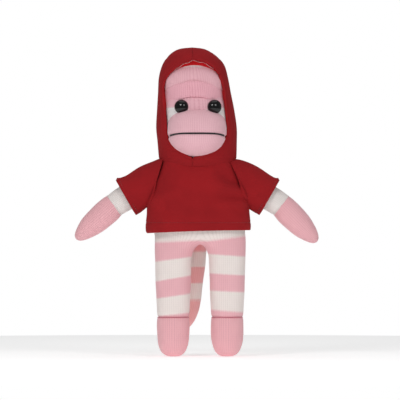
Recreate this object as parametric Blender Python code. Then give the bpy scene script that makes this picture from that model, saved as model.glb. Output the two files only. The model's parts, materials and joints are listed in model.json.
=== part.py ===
"""A stuffed monkey of striped knit in a red hooded pullover, as separate cut, sewn and stuffed pieces.

Units are metres, +Z is up, and the monkey faces -Y, so its own left is +X. The origin is on the floor,
under the middle of the whole toy. Every moving group hangs from an empty on its joint.
"""

import math
from dataclasses import dataclass, replace

import bmesh
import bpy
from mathutils import Matrix, Vector

# Walls and clearances
KNIT = 0.0012
JERSEY = 0.0014
GAP = 0.0003
SLACK = KNIT + GAP
RING_POINTS = 16

# The body's own middle line stands here, so that the origin is under the middle of the whole toy
MIDLINE = Vector((0.0011, 0.0050, 0))

# Joints, from the middle line
SHOULDER_X = 0.044
SHOULDER_Z = 0.172
SHOULDER_ROOM = 0.0187
HIP_SHIFT = 0.0025
HIP_X = 0.0266
HIP_Z = 0.104
HIP_ROOM = 0.0174
HIP_HALF_LENGTH = 0.0192
THIGH_REACH = 0.0300
THIGH_BELOW = 0.010
NECK_Z = 0.197
NAPE = Vector((0, 0.030, 0.205))
TAIL_ROOT = Vector((0.0005, 0.026, 0.112))
TAIL_ROOM = 0.0085
TAIL_Y = TAIL_ROOT.y

# Neck
NECK_LOW = 0.1860
NECK_TOP = 0.1962
NECK_RADIUS = 0.0165
THREAD_Z = 0.1920
THREAD_RADIUS = 0.0008
THREAD_RING = 0.0162

# How far the hidden cutters reach past the toy, front and back, and past the hood's two ends
FAR = 0.06
PAST = 0.02
OPENING_BACK = -0.002

# Arms: the sleeve leaves the shoulder at one slope, and the hand drops further
SLEEVE_DROP = math.radians(30)
SLEEVE_LENGTH = 0.031
WRIST = Vector((0.0824, 0, 0.149))
HAND_LENGTH = 0.050
HAND_DROP = {"left": math.radians(45), "right": math.radians(41)}
SIDE = {"left": 1, "right": -1}

# The head nods until the slope under it meets the collar
NOD_SLOPE = 0.28
NOD_REACH = 0.060
NOD_GAP = 0.0002
NOD_LOW = 0.150
COLLAR_FRONT = 0.032

# Face
EYE_X = 0.0162
EYE_Y = -0.0232
EYE_Z = 0.2460
EYE_RADIUS = 0.0068
EYE_TURN = math.radians(18)
EYE_GAP = 0.0003
DOME_RIM = 0.0012
DOME_RISE = 0.0048
STEM_RADIUS = 0.0020
STEM_LENGTH = 0.0110
WASHER_HOLE = 0.0024
WASHER_RADIUS = 0.0055
WASHER_FRONT = -0.0074
WASHER_BACK = -0.0086
WASHER_GAP = 0.0004
WASHER_OPEN = 0.0030
MUZZLE = Vector((-0.0006, -0.020, 0.222))
MUZZLE_HALF = Vector((0.0286, 0.0290, 0.0235))
MOUTH_Z = 0.2195
MOUTH_HALF_TURN = math.radians(70)
MOUTH_DROOP = 0.0030
YARN_RADIUS = 0.00075
YARN_PROUD = 0.0004
BRIM_WALL = 0.0022
EAR = Vector((0.0292, 0.0100, 0.2340))
EAR_SHIFT = -0.0008
EAR_HALF = Vector((0.0036, 0.0090, 0.0100))


@dataclass(frozen=True)
class Ring:
    """One cross-section: a centre and two half-axes, from an ellipse (square 2) to a squarer round."""

    centre: Vector
    across: Vector
    deep: Vector
    square: float = 2.0

    def points(self):
        """The points round the ring."""
        for step in range(RING_POINTS):
            angle = 2 * math.pi * step / RING_POINTS
            c, s = math.cos(angle), math.sin(angle)
            u = math.copysign(abs(c) ** (2 / self.square), c)
            v = math.copysign(abs(s) ** (2 / self.square), s)
            yield self.centre + self.across * u + self.deep * v

    def shrunk(self, by):
        """The ring moved in by a wall."""
        return replace(
            self,
            across=self.across * (1 - by / self.across.length),
            deep=self.deep * (1 - by / self.deep.length),
        )


def stack(rows, square=2.0):
    """Level rings from rows of (height, centre x, half width, half depth, centre y, fall to the back)."""
    rings = []
    for z, x, half_x, half_y, *more in rows:
        y, fall = (*more, 0, 0)[:2]
        deep = Vector((0, half_y, -fall * half_y))
        rings.append(Ring(Vector((x, y, z)), Vector((half_x, 0, 0)), deep, square))
    return rings


def shrunk(rings, by, close_start=True, close_end=True):
    """The rings moved in by a wall, and the closed ends moved in along the piece too."""
    inner = [ring.shrunk(by) for ring in rings]
    for closed, order in ((close_start, 1), (close_end, -1)):
        if not closed:
            continue
        run = inner[::order]
        end = run[0].centre
        inward = (run[1].centre - end).normalized()
        for place, ring in enumerate(run):
            short = by - (ring.centre - end).length
            if short > 0:
                run[place] = replace(ring, centre=ring.centre + inward * short)
        inner = run[::order]
    return inner


def collection_add(name, data, colour, roughness):
    """An object of the data, in the scene and coloured."""
    obj = bpy.data.objects.new(name, data)
    bpy.context.scene.collection.objects.link(obj)
    if colour:
        data.materials.append(finish(name, colour, roughness))
    return obj


def finish(name, colour, roughness):
    """A Principled material of an sRGB hex colour."""
    material = bpy.data.materials.new(name)
    material.use_nodes = True
    shader = material.node_tree.nodes["Principled BSDF"]
    channels = [int(colour[i : i + 2], 16) / 255 for i in (0, 2, 4)]
    linear = [c / 12.92 if c <= 0.04045 else ((c + 0.055) / 1.055) ** 2.4 for c in channels]
    shader.inputs["Base Color"].default_value = (*linear, 1)
    shader.inputs["Roughness"].default_value = roughness
    shader.inputs["Metallic"].default_value = 0
    return material


def mesh_object(name, bm, colour=None, roughness=0.95):
    """An object of the bmesh, which is freed."""
    bmesh.ops.recalc_face_normals(bm, faces=bm.faces)
    mesh = bpy.data.meshes.new(name)
    bm.to_mesh(mesh)
    bm.free()
    obj = collection_add(name, mesh, colour, roughness)
    mesh.shade_smooth()
    mesh.set_sharp_from_angle(angle=math.radians(50))
    return obj


def add_skin(bm, rings):
    """Bridges the rings in order, and returns the first and the last loop of points."""
    loops = [[bm.verts.new(point) for point in ring.points()] for ring in rings]
    for low, high in zip(loops, loops[1:]):
        join(bm, low, high)
    return loops[0], loops[-1]


def join(bm, low, high):
    """Faces between two loops of points."""
    for here in range(RING_POINTS):
        after = (here + 1) % RING_POINTS
        bm.faces.new((low[here], low[after], high[after], high[here]))


def loft(name, rings, colour=None):
    """A closed solid through the rings."""
    bm = bmesh.new()
    for end in add_skin(bm, rings):
        bm.faces.new(end)
    return mesh_object(name, bm, colour)


def bag(name, rings, wall, colour, close_start=False, close_end=False):
    """A skin of even wall through the rings, open at an end unless it is closed there."""
    bm = bmesh.new()
    outer = add_skin(bm, rings)
    inner = add_skin(bm, shrunk(rings, wall, close_start, close_end))
    for outside, inside, closed in zip(outer, inner, (close_start, close_end)):
        if closed:
            bm.faces.new(outside)
            bm.faces.new(inside)
        else:
            join(bm, outside, inside)
    return mesh_object(name, bm, colour)


def stuffing(name, rings):
    """The filling inside a skin of the same rings."""
    return loft(name, shrunk(rings, SLACK), FILLING)


def hide(cutter):
    """Puts a cutter on the midline, out of the render."""
    cutter.location = MIDLINE
    cutter.hide_render = True
    cutter.display_type = "WIRE"
    return cutter


def prism(name, outline, low, high, plane):
    """A hidden cutter: an outline in the plane XZ or YZ, drawn out along the third axis."""
    bm = bmesh.new()
    points = []
    for a, z in outline:
        points.append(Vector((a, low, z)) if plane == "XZ" else Vector((low, a, z)))
    face = bm.faces.new([bm.verts.new(point) for point in points])
    drawn = bmesh.ops.extrude_face_region(bm, geom=[face])
    moved = [item for item in drawn["geom"] if isinstance(item, bmesh.types.BMVert)]
    along = Vector((0, high - low, 0)) if plane == "XZ" else Vector((high - low, 0, 0))
    bmesh.ops.translate(bm, verts=moved, vec=along)
    return hide(mesh_object(name, bm))


def box_cutter(name, low, high):
    """A hidden cutter between two corners."""
    outline = ((low[0], low[2]), (high[0], low[2]), (high[0], high[2]), (low[0], high[2]))
    return prism(name, outline, low[1], high[1], "XZ")


def ball(name, centre, radii, colour=None, across=18, up=10):
    """A solid with three half-axes."""
    bm = bmesh.new()
    bmesh.ops.create_uvsphere(bm, u_segments=across, v_segments=up, radius=1)
    bmesh.ops.scale(bm, verts=bm.verts, vec=radii)
    bmesh.ops.translate(bm, verts=bm.verts, vec=centre)
    return mesh_object(name, bm, colour)


def rod_cutter(name, centre, radius, half_length):
    """A hidden rod along X."""
    rings = []
    for x in (-half_length, half_length):
        middle = centre + Vector((x, 0, 0))
        rings.append(Ring(middle, Vector((0, radius, 0)), Vector((0, 0, radius))))
    return hide(loft(name, rings))


def cut(obj, *cutters):
    """Takes the cutters out of a piece."""
    for cutter in cutters:
        modifier = obj.modifiers.new(cutter.name, "BOOLEAN")
        modifier.operation = "DIFFERENCE"
        modifier.solver = "EXACT"
        modifier.object = cutter


def pivot(name, place, parent=None):
    """An empty on a joint, which carries one moving group."""
    empty = bpy.data.objects.new(name, None)
    bpy.context.scene.collection.objects.link(empty)
    empty.parent = parent
    empty.location = place - Vector(parent["place"]) if parent else MIDLINE
    empty["place"] = place
    return empty


def hang(parent, *pieces):
    """Puts each piece's origin on its group's joint, with its shape left where it is."""
    to_joint = Matrix.Translation(-Vector(parent["place"]))
    for piece in pieces:
        piece.data.transform(to_joint)
        piece.parent = parent


# Level sections: height, centre x, half width, half depth, centre y, fall to the back
TORSO = (
    (0.1100, 0.0025, 0.0415, 0.0225),
    (0.1160, 0.0022, 0.0430, 0.0240),
    (0.1240, 0.0015, 0.0440, 0.0250),
    (0.1400, 0.0010, 0.0425, 0.0255),
    (0.1560, 0.0000, 0.0395, 0.0250),
    (0.1700, 0.0000, 0.0350, 0.0240),
    (0.1800, 0.0000, 0.0275, 0.0210),
    (0.1868, 0.0000, 0.0200, 0.0175),
)
HOODIE = (
    (0.1220, 0.0005, 0.0500, 0.0275),
    (0.1270, 0.0005, 0.0522, 0.0285),
    (0.1400, 0.0005, 0.0505, 0.0290),
    (0.1550, 0.0000, 0.0500, 0.0290),
    (0.1700, 0.0000, 0.0470, 0.0285),
    (0.1820, 0.0000, 0.0410, 0.0280),
    (0.1900, -0.0005, 0.0365, 0.0275),
    (0.1960, -0.0010, 0.0335, 0.0275),
)
HEAD = (
    (0.1975, 0.0000, 0.0185, 0.0180),
    (0.2040, 0.0000, 0.0240, 0.0225),
    (0.2140, -0.0003, 0.0278, 0.0260),
    (0.2280, -0.0008, 0.0288, 0.0276),
    (0.2420, -0.0015, 0.0281, 0.0276),
    (0.2500, -0.0024, 0.0264, 0.0266, 0, 0.20),
    (0.2570, -0.0030, 0.0252, 0.0256, 0, 0.22),
)
CROWN = (
    (0.2573, -0.0030, 0.0252, 0.0256, 0, 0.22),
    (0.2660, -0.0036, 0.0236, 0.0240, 0, 0.20),
    (0.2750, -0.0041, 0.0205, 0.0208, 0, 0.15),
    (0.2825, -0.0045, 0.0155, 0.0157, 0, 0.08),
    (0.2870, -0.0048, 0.0095, 0.0095, 0, 0.03),
    (0.2890, -0.0048, 0.0042, 0.0042, 0, 0.00),
)
BRIM = (
    (0.2500, -0.0026, 0.0291, 0.0296, 0, 0.20),
    (0.2570, -0.0030, 0.0282, 0.0287, 0, 0.22),
    (0.2650, -0.0035, 0.0266, 0.0272, 0, 0.22),
)
HOOD = (
    (0.1975, 0.0001, 0.0378, 0.0320, 0.0010),
    (0.2120, -0.0005, 0.0386, 0.0350, 0.0020),
    (0.2260, -0.0012, 0.0392, 0.0365, 0.0030),
    (0.2430, -0.0020, 0.0375, 0.0370, 0.0035),
    (0.2600, -0.0032, 0.0353, 0.0365, 0.0040),
    (0.2750, -0.0042, 0.0335, 0.0335, 0.0045),
    (0.2870, -0.0043, 0.0305, 0.0280, 0.0050),
    (0.2950, -0.0050, 0.0250, 0.0220, 0.0050),
    (0.3005, -0.0058, 0.0185, 0.0155, 0.0050),
    (0.3038, -0.0058, 0.0110, 0.0090, 0.0050),
    (0.3050, -0.0055, 0.0045, 0.0035, 0.0050),
)
LEG = (
    (0.1200, 0, 0.0150, 0.0055),
    (0.1175, 0, 0.0168, 0.0102),
    (0.1130, 0, 0.0180, 0.0143),
    (0.1075, 0, 0.0186, 0.0165),
    (0.0950, 0, 0.0187, 0.0167),
    (0.0700, 0, 0.0180, 0.0164),
    (0.0385, 0, 0.0168, 0.0160),
)
FOOT = (
    (0.0382, 0, 0.0168, 0.0160),
    (0.0250, 0, 0.0167, 0.0163),
    (0.0120, 0, 0.0158, 0.0156),
    (0.0040, 0, 0.0136, 0.0134),
    (0.0008, 0, 0.0110, 0.0106),
    (0.0000, 0, 0.0092, 0.0088),
)
# The face opening of the hood, across and up
FACE_OPENING = (
    (-0.0316, 0.185), (-0.0316, 0.216), (-0.0328, 0.239), (-0.0344, 0.262), (-0.0340, 0.273),
    (-0.0234, 0.2835), (-0.0133, 0.2915), (-0.0030, 0.2935), (0.0072, 0.2925), (0.0177, 0.2850),
    (0.0228, 0.276), (0.0263, 0.262), (0.0276, 0.248), (0.0290, 0.234), (0.0299, 0.222),
    (0.0299, 0.185),
)
# Where the sleeve sweeps the body: outside the raglan seam, and under the arm at its lowest
SLEEVE_ROOM = (
    (0.0275, 0.200), (0.0275, 0.1905), (0.0440, 0.1660), (0.0330, 0.1572), (0.0565, 0.1364),
    (0.0700, 0.1364), (0.0700, 0.200),
)
# Arm and sleeve sections: distance from the shoulder along the sleeve, half height, half depth
ARM = (
    (-0.0135, 0.0060, 0.0060),
    (-0.0090, 0.0120, 0.0105),
    (0.0000, 0.0157, 0.0140),
    (0.0120, 0.0140, 0.0130),
    (0.0250, 0.0122, 0.0118),
)
SLEEVE = (
    (-0.0105, 0.0138, 0.0130),
    (-0.0050, 0.0166, 0.0152),
    (0.0000, 0.0175, 0.0160),
    (0.0120, 0.0180, 0.0165),
    (SLEEVE_LENGTH, 0.0195, 0.0165),
)
# Hand sections: share of the hand's length, half height, half depth
HAND = (
    (0.015, 0.0119, 0.0116),
    (0.30, 0.0124, 0.0118),
    (0.58, 0.0112, 0.0106),
    (0.80, 0.0082, 0.0078),
    (0.93, 0.0050, 0.0048),
    (1.00, 0.0018, 0.0018),
)
# Tail, from root to tip: how far across, how high, radius
TAIL = (
    (0.0005, 0.1185, 0.0042),
    (0.0005, 0.1120, 0.0078),
    (0.0002, 0.1000, 0.0080),
    (-0.0010, 0.0870, 0.0080),
    (-0.0030, 0.0735, 0.0080),
    (-0.0044, 0.0600, 0.0080),
    (-0.0062, 0.0490, 0.0079),
    (-0.0095, 0.0390, 0.0076),
    (-0.0140, 0.0310, 0.0062),
    (-0.0178, 0.0265, 0.0036),
)
RED = "9E1B22"
PINK = "E4A5B4"
LIGHT_PINK = "EBB6C0"
WHITE = "EFE9E6"
CORAL = "E4828C"
FILLING = "F4F1EC"


def shoulder(side):
    """The middle of a shoulder."""
    return Vector((SIDE[side] * SHOULDER_X, 0, SHOULDER_Z))


def hip(side):
    """The middle of a hip."""
    return Vector((HIP_SHIFT + SIDE[side] * HIP_X, 0, HIP_Z))


def in_plane(centre, toward, half_height, half_depth):
    """A ring across a limb that runs in the plane XZ."""
    return Ring(centre, Vector((-toward.z, 0, toward.x)) * half_height, Vector((0, half_depth, 0)))


def sleeve_rooms(side, name):
    """Hidden cutters for what the sleeve needs as the arm turns."""
    outline = [(SIDE[side] * x, z) for x, z in SLEEVE_ROOM]
    return [
        prism(f"{name}_sweep_{side}", outline, -FAR, FAR, "XZ"),
        hide(ball(f"{name}_room_{side}", shoulder(side), Vector((SHOULDER_ROOM,) * 3), across=24, up=14)),
    ]


def build_torso(body):
    """The body's skin and filling, with room for the arms, the thighs and the tail."""
    rings = stack(TORSO, 2.3)
    skin = bag("torso_skin", rings, KNIT, WHITE, close_start=True)
    filling = stuffing("torso_stuffing", rings)
    cutters = [hide(ball("tail_room", TAIL_ROOT, Vector((TAIL_ROOM,) * 3)))]
    for side, sign in SIDE.items():
        cutters += sleeve_rooms(side, "shoulder")
        joint = hip(side)
        cutters.append(rod_cutter(f"hip_room_{side}", joint, HIP_ROOM, HIP_HALF_LENGTH))
        inner = joint.x - sign * HIP_HALF_LENGTH
        outer = joint.x + sign * THIGH_REACH
        low = (min(inner, outer), -FAR, HIP_Z - THIGH_BELOW)
        high = (max(inner, outer), 0, HIP_Z + HIP_ROOM)
        cutters.append(box_cutter(f"thigh_room_{side}", low, high))
    cut(skin, *cutters)
    cut(filling, *cutters)
    hang(body, skin, filling)


def build_hoodie(body):
    """The pullover's front and back panels, one skin parted at the side seams."""
    rings = stack(HOODIE, 2.5)
    rooms = []
    for side in SIDE:
        rooms += sleeve_rooms(side, "armhole")
    other_half = {
        "front": box_cutter("beyond_front", (-0.07, -GAP / 2, 0.10), (0.07, FAR, 0.21)),
        "back": box_cutter("beyond_back", (-0.07, -FAR, 0.10), (0.07, GAP / 2, 0.21)),
    }
    for name, beyond in other_half.items():
        panel = bag(f"hoodie_{name}_panel", rings, JERSEY, RED)
        cut(panel, beyond, *rooms)
        hang(body, panel)


def build_neck(neck):
    """The filling of the neck, with the thread round it."""
    rows = [(z, 0, NECK_RADIUS, NECK_RADIUS) for z in (NECK_LOW, NECK_TOP + SLACK)]
    hang(neck, stuffing("neck_stuffing", stack(rows)), gather_thread())


def gather_thread():
    """The thread drawn tight round the neck."""
    bm = bmesh.new()
    bmesh.ops.create_circle(bm, segments=8, radius=THREAD_RADIUS)
    start = Vector((THREAD_RING, 0, THREAD_Z))
    bmesh.ops.rotate(bm, verts=bm.verts, matrix=turn("X", math.pi / 2))
    bmesh.ops.translate(bm, verts=bm.verts, vec=start)
    bmesh.ops.spin(bm, geom=bm.edges[:], axis=(0, 0, 1), cent=(0, 0, 0), steps=RING_POINTS,
                   angle=2 * math.pi, use_merge=True)
    return mesh_object("neck_gather_thread", bm, WHITE)


def turn(axis, angle):
    """A turn about a world axis."""
    return Matrix.Rotation(angle, 4, axis)


def build_head(head):
    """The head, cap, muzzle, ears, eyes and mouth, cut so that the head can nod."""
    wedge = prism("nod_room", wedge_outline(NOD_REACH), -FAR, FAR, "YZ")
    skin = bag("head_skin", stack(HEAD, 2.3), KNIT, LIGHT_PINK)
    filling = stuffing("head_stuffing", stack(HEAD + CROWN[1:], 2.3))
    crown = bag("cap_crown", stack(CROWN, 2.3), KNIT, PINK, close_end=True)
    brim = bag("cap_brim", stack(BRIM, 2.3), BRIM_WALL, PINK)
    cut(skin, wedge)
    cut(filling, wedge)
    envelope = hide(loft("head_room", [ring.shrunk(-GAP) for ring in stack(HEAD + CROWN[1:], 2.3)]))
    muzzle_room = prism("chin_room", wedge_outline(COLLAR_FRONT), -FAR, FAR, "YZ")
    muzzle = ball("muzzle_skin", MUZZLE, MUZZLE_HALF, LIGHT_PINK)
    hollow = hide(ball("muzzle_hollow", MUZZLE, MUZZLE_HALF - Vector((KNIT, KNIT, KNIT))))
    inside = ball("muzzle_stuffing", MUZZLE, MUZZLE_HALF - Vector((SLACK, SLACK, SLACK)), FILLING)
    cut(muzzle, hollow, envelope, muzzle_room)
    cut(inside, envelope, muzzle_room)
    for side, sign in SIDE.items():
        beside = Vector((EAR_SHIFT + sign * EAR.x, EAR.y, EAR.z))
        ear = ball(f"ear_{side}", beside, EAR_HALF, PINK, across=12, up=8)
        cut(ear, envelope)
        eye, washer, room, pocket = build_eye(side, sign)
        cut(skin, room)
        cut(filling, room, pocket)
        cut(muzzle, room)
        cut(inside, room)
        cut(brim, room)
        hang(head, ear, eye, washer)
    hang(head, skin, filling, crown, brim, muzzle, inside, build_mouth())


def wedge_outline(reach):
    """What is under the two slopes on which the head nods."""
    rise = NOD_SLOPE * reach
    low = NECK_Z + NOD_GAP
    return ((-reach, NOD_LOW), (reach, NOD_LOW), (reach, low + rise), (0, low), (-reach, low + rise))


def lathe(name, profile, colour, steps=16, roughness=0.95):
    """A turned piece about -Y from (radius, forward) points, at the origin."""
    bm = bmesh.new()
    points = [bm.verts.new((radius, -forward, 0)) for radius, forward in profile]
    edges = [bm.edges.new(pair) for pair in zip(points, points[1:] + points[:1]) if pair[0] is not pair[1]]
    bmesh.ops.spin(bm, geom=points + edges, axis=(0, 1, 0), cent=(0, 0, 0), steps=steps,
                   angle=2 * math.pi, use_merge=True)
    bmesh.ops.remove_doubles(bm, verts=bm.verts, dist=0.000001)
    bmesh.ops.dissolve_degenerate(bm, edges=bm.edges, dist=0.000001)
    return mesh_object(name, bm, colour, roughness)


def eye_profile(grown):
    """The dome and its stem, or the room that they need."""
    dome = EYE_RADIUS + grown
    stem, back = STEM_RADIUS + grown, -STEM_LENGTH - grown
    profile = [(0, back), (stem, back), (stem, -grown), (dome, -grown), (dome, DOME_RIM)]
    for step in range(1, 5):
        angle = math.radians(22.5 * step)
        profile.append((dome * math.cos(angle), DOME_RIM + (DOME_RISE + grown) * math.sin(angle)))
    profile[-1] = (0, profile[-1][1])
    return profile


def build_eye(side, sign):
    """One eye and its washer, with the rooms that both need."""
    place = Vector((sign * EYE_X, EYE_Y, EYE_Z))
    eye = lathe(f"eye_{side}", eye_profile(0), "0A0A0C", roughness=0.08)
    room = hide(lathe(f"eye_room_{side}", eye_profile(EYE_GAP), None))
    flat = [(WASHER_HOLE, WASHER_BACK), (WASHER_RADIUS, WASHER_BACK),
            (WASHER_RADIUS, WASHER_FRONT), (WASHER_HOLE, WASHER_FRONT)]
    washer = lathe(f"eye_washer_{side}", flat, "D8D8D6", roughness=0.5)
    wide, back = WASHER_RADIUS + WASHER_GAP, WASHER_BACK - WASHER_GAP
    inside = [(0, back), (wide, back), (wide, WASHER_OPEN), (0, WASHER_OPEN)]
    pocket = hide(lathe(f"washer_room_{side}", inside, None))
    for piece in (eye, room, washer, pocket):
        piece.data.transform(Matrix.Translation(place) @ turn("Z", sign * EYE_TURN))
    return eye, washer, room, pocket


def build_mouth():
    """One stitched line of yarn across the muzzle, its ends drooping."""
    steps = 16
    curve = bpy.data.curves.new("mouth_yarn", "CURVE")
    curve.dimensions = "3D"
    spline = curve.splines.new("POLY")
    spline.points.add(steps)
    proud = YARN_RADIUS + YARN_PROUD
    for step, point in enumerate(spline.points):
        share = 2 * step / steps - 1
        angle = share * MOUTH_HALF_TURN
        x = MUZZLE.x + (MUZZLE_HALF.x + proud) * math.sin(angle)
        y = MUZZLE.y - (MUZZLE_HALF.y + proud) * math.cos(angle)
        point.co = (x, y, MOUTH_Z - MOUTH_DROOP * abs(share) ** 3, 1)
    curve.bevel_depth = YARN_RADIUS
    curve.bevel_resolution = 1
    curve.use_fill_caps = True
    return collection_add("mouth_yarn", curve, "1A1213", 0.9)


def build_hood(hood):
    """The hood's two panels, one shell parted at the seam over the head."""
    wedge = prism("hood_nod_room", wedge_outline(NOD_REACH), -FAR, FAR, "YZ")
    opening = prism("face_opening", FACE_OPENING, -FAR, OPENING_BACK, "XZ")
    top, low = HOOD[-1], HOOD[0]
    for side, sign in SIDE.items():
        panel = bag(f"hood_{side}_panel", stack(HOOD, 2.2), JERSEY, RED, close_end=True)
        seam_low = low[1] - sign * GAP / 2
        seam_top = top[1] - sign * GAP / 2
        lean = (seam_top - seam_low) / (top[0] - low[0])
        under, over = low[0] - PAST, top[0] + PAST
        outline = [(seam_low + sign * GAP - lean * PAST, under), (seam_top + sign * GAP + lean * PAST, over),
                   (-sign * 0.07, over), (-sign * 0.07, under)]
        other = prism(f"beyond_seam_{side}", outline, -FAR, FAR, "XZ")
        cut(panel, other, opening, wedge)
        hang(hood, panel)


def build_arm(side, arm):
    """One arm with its sleeve and mitten."""
    sign = SIDE[side]
    root = shoulder(side)
    along = Vector((sign * math.cos(SLEEVE_DROP), 0, -math.sin(SLEEVE_DROP)))
    drop = HAND_DROP[side]
    onward = Vector((sign * math.cos(drop), 0, -math.sin(drop)))
    wrist = Vector((sign * WRIST.x, WRIST.y, WRIST.z))
    bend = (along + onward).normalized()
    tube = [in_plane(root + along * far, along, high, deep) for far, high, deep in SLEEVE]
    sleeve = bag(f"sleeve_{side}", tube, JERSEY, RED)
    upper = [in_plane(root + along * far, along, high, deep) for far, high, deep in ARM]
    upper.append(in_plane(wrist - bend * 0.006, bend, 0.0118, 0.0116))
    upper.append(in_plane(wrist - onward * 0.0003, onward, 0.0118, 0.0116))
    hand = [in_plane(wrist + onward * HAND_LENGTH * share, onward, high, deep) for share, high, deep in HAND]
    skin = bag(f"arm_skin_{side}", upper[2:], KNIT, WHITE)
    mitten = bag(f"hand_skin_{side}", hand, KNIT, PINK, close_end=True)
    filling = stuffing(f"arm_stuffing_{side}", upper + hand)
    hang(arm, sleeve, skin, mitten, filling)


def build_leg(side, leg):
    """One leg with its foot."""
    middle = Vector((hip(side).x, 0, 0))
    rings = [replace(ring, centre=ring.centre + middle) for ring in stack(LEG, 2.3)]
    toe = [replace(ring, centre=ring.centre + middle) for ring in stack(FOOT, 2.3)]
    skin = bag(f"leg_skin_{side}", rings, KNIT, PINK)
    foot = bag(f"foot_skin_{side}", toe, KNIT, PINK, close_end=True)
    filling = stuffing(f"leg_stuffing_{side}", rings + toe[1:])
    hang(leg, skin, foot, filling)


def build_tail(tail):
    """The tail, along its own path."""
    centres = [Vector((x, TAIL_Y, z)) for x, z, _ in TAIL]
    rings = []
    for place, (centre, row) in enumerate(zip(centres, TAIL)):
        before = centres[max(place - 1, 0)]
        after = centres[min(place + 1, len(centres) - 1)]
        rings.append(in_plane(centre, (after - before).normalized(), row[2], row[2]))
    skin = bag("tail_skin", rings[1:], KNIT, CORAL, close_end=True)
    hang(tail, skin, stuffing("tail_stuffing", rings))


def main():
    """Builds every group, each on its joint."""
    for obj in list(bpy.data.objects):
        bpy.data.objects.remove(obj)
    body = pivot("torso", Vector())
    neck = pivot("neck", Vector((0, 0, NECK_Z)), body)
    head = pivot("head", Vector((0, 0, NECK_Z)), neck)
    hood = pivot("hood", NAPE, head)
    build_torso(body)
    build_hoodie(body)
    build_neck(neck)
    build_head(head)
    build_hood(hood)
    for side in SIDE:
        build_arm(side, pivot(f"arm_{side}", shoulder(side), body))
        build_leg(side, pivot(f"leg_{side}", hip(side), body))
    build_tail(pivot("tail", TAIL_ROOT, body))


main()
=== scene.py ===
"""The looks of a stuffed knit monkey in a hooded pullover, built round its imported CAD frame."""

import json
import logging
import math
from dataclasses import dataclass
from enum import Enum
from typing import Callable, ClassVar, Sequence

import bmesh
import bpy
from mathutils import Matrix, Vector, noise


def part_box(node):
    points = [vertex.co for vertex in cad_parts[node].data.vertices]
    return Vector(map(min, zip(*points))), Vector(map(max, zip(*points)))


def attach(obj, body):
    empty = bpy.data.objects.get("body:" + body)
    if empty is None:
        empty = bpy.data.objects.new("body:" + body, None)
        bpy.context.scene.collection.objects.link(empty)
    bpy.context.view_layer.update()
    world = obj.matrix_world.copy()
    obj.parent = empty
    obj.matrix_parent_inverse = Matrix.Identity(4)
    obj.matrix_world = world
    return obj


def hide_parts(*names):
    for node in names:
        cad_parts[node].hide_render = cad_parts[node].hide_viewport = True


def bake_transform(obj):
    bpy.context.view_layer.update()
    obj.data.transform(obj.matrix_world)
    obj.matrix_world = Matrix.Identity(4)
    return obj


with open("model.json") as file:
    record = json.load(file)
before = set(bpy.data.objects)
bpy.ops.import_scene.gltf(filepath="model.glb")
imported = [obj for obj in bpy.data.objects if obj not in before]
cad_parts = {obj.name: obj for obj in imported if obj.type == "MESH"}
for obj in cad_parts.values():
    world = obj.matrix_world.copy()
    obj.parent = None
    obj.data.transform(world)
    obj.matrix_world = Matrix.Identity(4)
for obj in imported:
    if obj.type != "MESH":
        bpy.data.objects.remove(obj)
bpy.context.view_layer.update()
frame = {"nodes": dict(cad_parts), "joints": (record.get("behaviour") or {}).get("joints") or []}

log = logging.getLogger("monkey")
MM = 0.001
PATTERN = "pattern"
BAND = "band"
JOINT = {joint["name"]: Vector(joint["pos_m"]) for joint in frame["joints"]}
# The toy's own midline: every size below is measured from it, in metres.
MIDLINE = Vector((JOINT["head_turn"].x, JOINT["head_turn"].y, 0))
WALE = 2.1 * MM  # a rib's width, finer than the toy's own ribs, which are roughly 3 mm
COURSE = 1.8 * MM
JERSEY_PITCH = 1.6 * MM
JERSEY_GRID = (JERSEY_PITCH, JERSEY_PITCH)
KNIT_GRID = (WALE, COURSE)
# The filling's cloth simulation.
CLOTH_FRAMES = 16
CLOTH_QUALITY = 5
CLOTH_STIFFNESS = 25
CLOTH_BENDING = 0.6

Row = tuple[float, ...]
Table = tuple[tuple[float, float], ...]
Shape = Callable[[float, float], Vector]
Tree = bpy.types.NodeTree
Socket = bpy.types.NodeSocket


class Side(Enum):
    """The toy's own left and right, with the sign of X on each."""

    LEFT = 1
    RIGHT = -1

    @property
    def word(self) -> str:
        """The word that names of bodies and nodes end in."""
        return self.name.lower()


class Fill(Enum):
    """How tightly a stuffed piece is filled."""

    FIRM = 0.75
    SOFT = 0.6


# --- finishes ---------------------------------------------------------------------------


def linear(colour: str) -> tuple[float, float, float, float]:
    """Turns an sRGB hex colour to linear RGBA.

    Args:
        colour: Six hex digits.

    Returns:
        The linear colour with an alpha of 1.
    """
    channels = [int(colour[i : i + 2], 16) / 255 for i in (0, 2, 4)]
    return (*[c / 12.92 if c <= 0.04045 else ((c + 0.055) / 1.055) ** 2.4 for c in channels], 1.0)


def add(
    tree: Tree, kind: str, inputs: dict | list | None = None, output: int | str = 0, **settings: object
) -> Socket:
    """Adds one node to a tree.

    Args:
        tree: The material's tree.
        kind: The node's type name after "ShaderNode".
        inputs: Values or sockets, in the order of the node's inputs or by their name or index.
        output: The name or index of the output that is wanted.
        **settings: The node's own properties.

    Returns:
        That output.
    """
    made = tree.nodes.new("ShaderNode" + kind)
    for name, value in settings.items():
        setattr(made, name, value)
    given = dict(enumerate(inputs)) if isinstance(inputs, list) else inputs or {}
    for key, value in given.items():
        if isinstance(value, Socket):
            tree.links.new(value, made.inputs[key])
        else:
            made.inputs[key].default_value = value
    return made.outputs[output]


def start(name: str, sockets: dict[str, object]) -> tuple[bpy.types.Material, Tree, bpy.types.Node]:
    """Makes a material with its Principled shader set.

    Args:
        name: The finish's name.
        sockets: The values of the shader's own sockets.

    Returns:
        The material, its tree and its shader.
    """
    material = bpy.data.materials.new(name)
    material.use_nodes = True
    tree = material.node_tree
    shader = tree.nodes["Principled BSDF"]
    for socket, value in sockets.items():
        shader.inputs[socket].default_value = value
    return material, tree, shader


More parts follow.
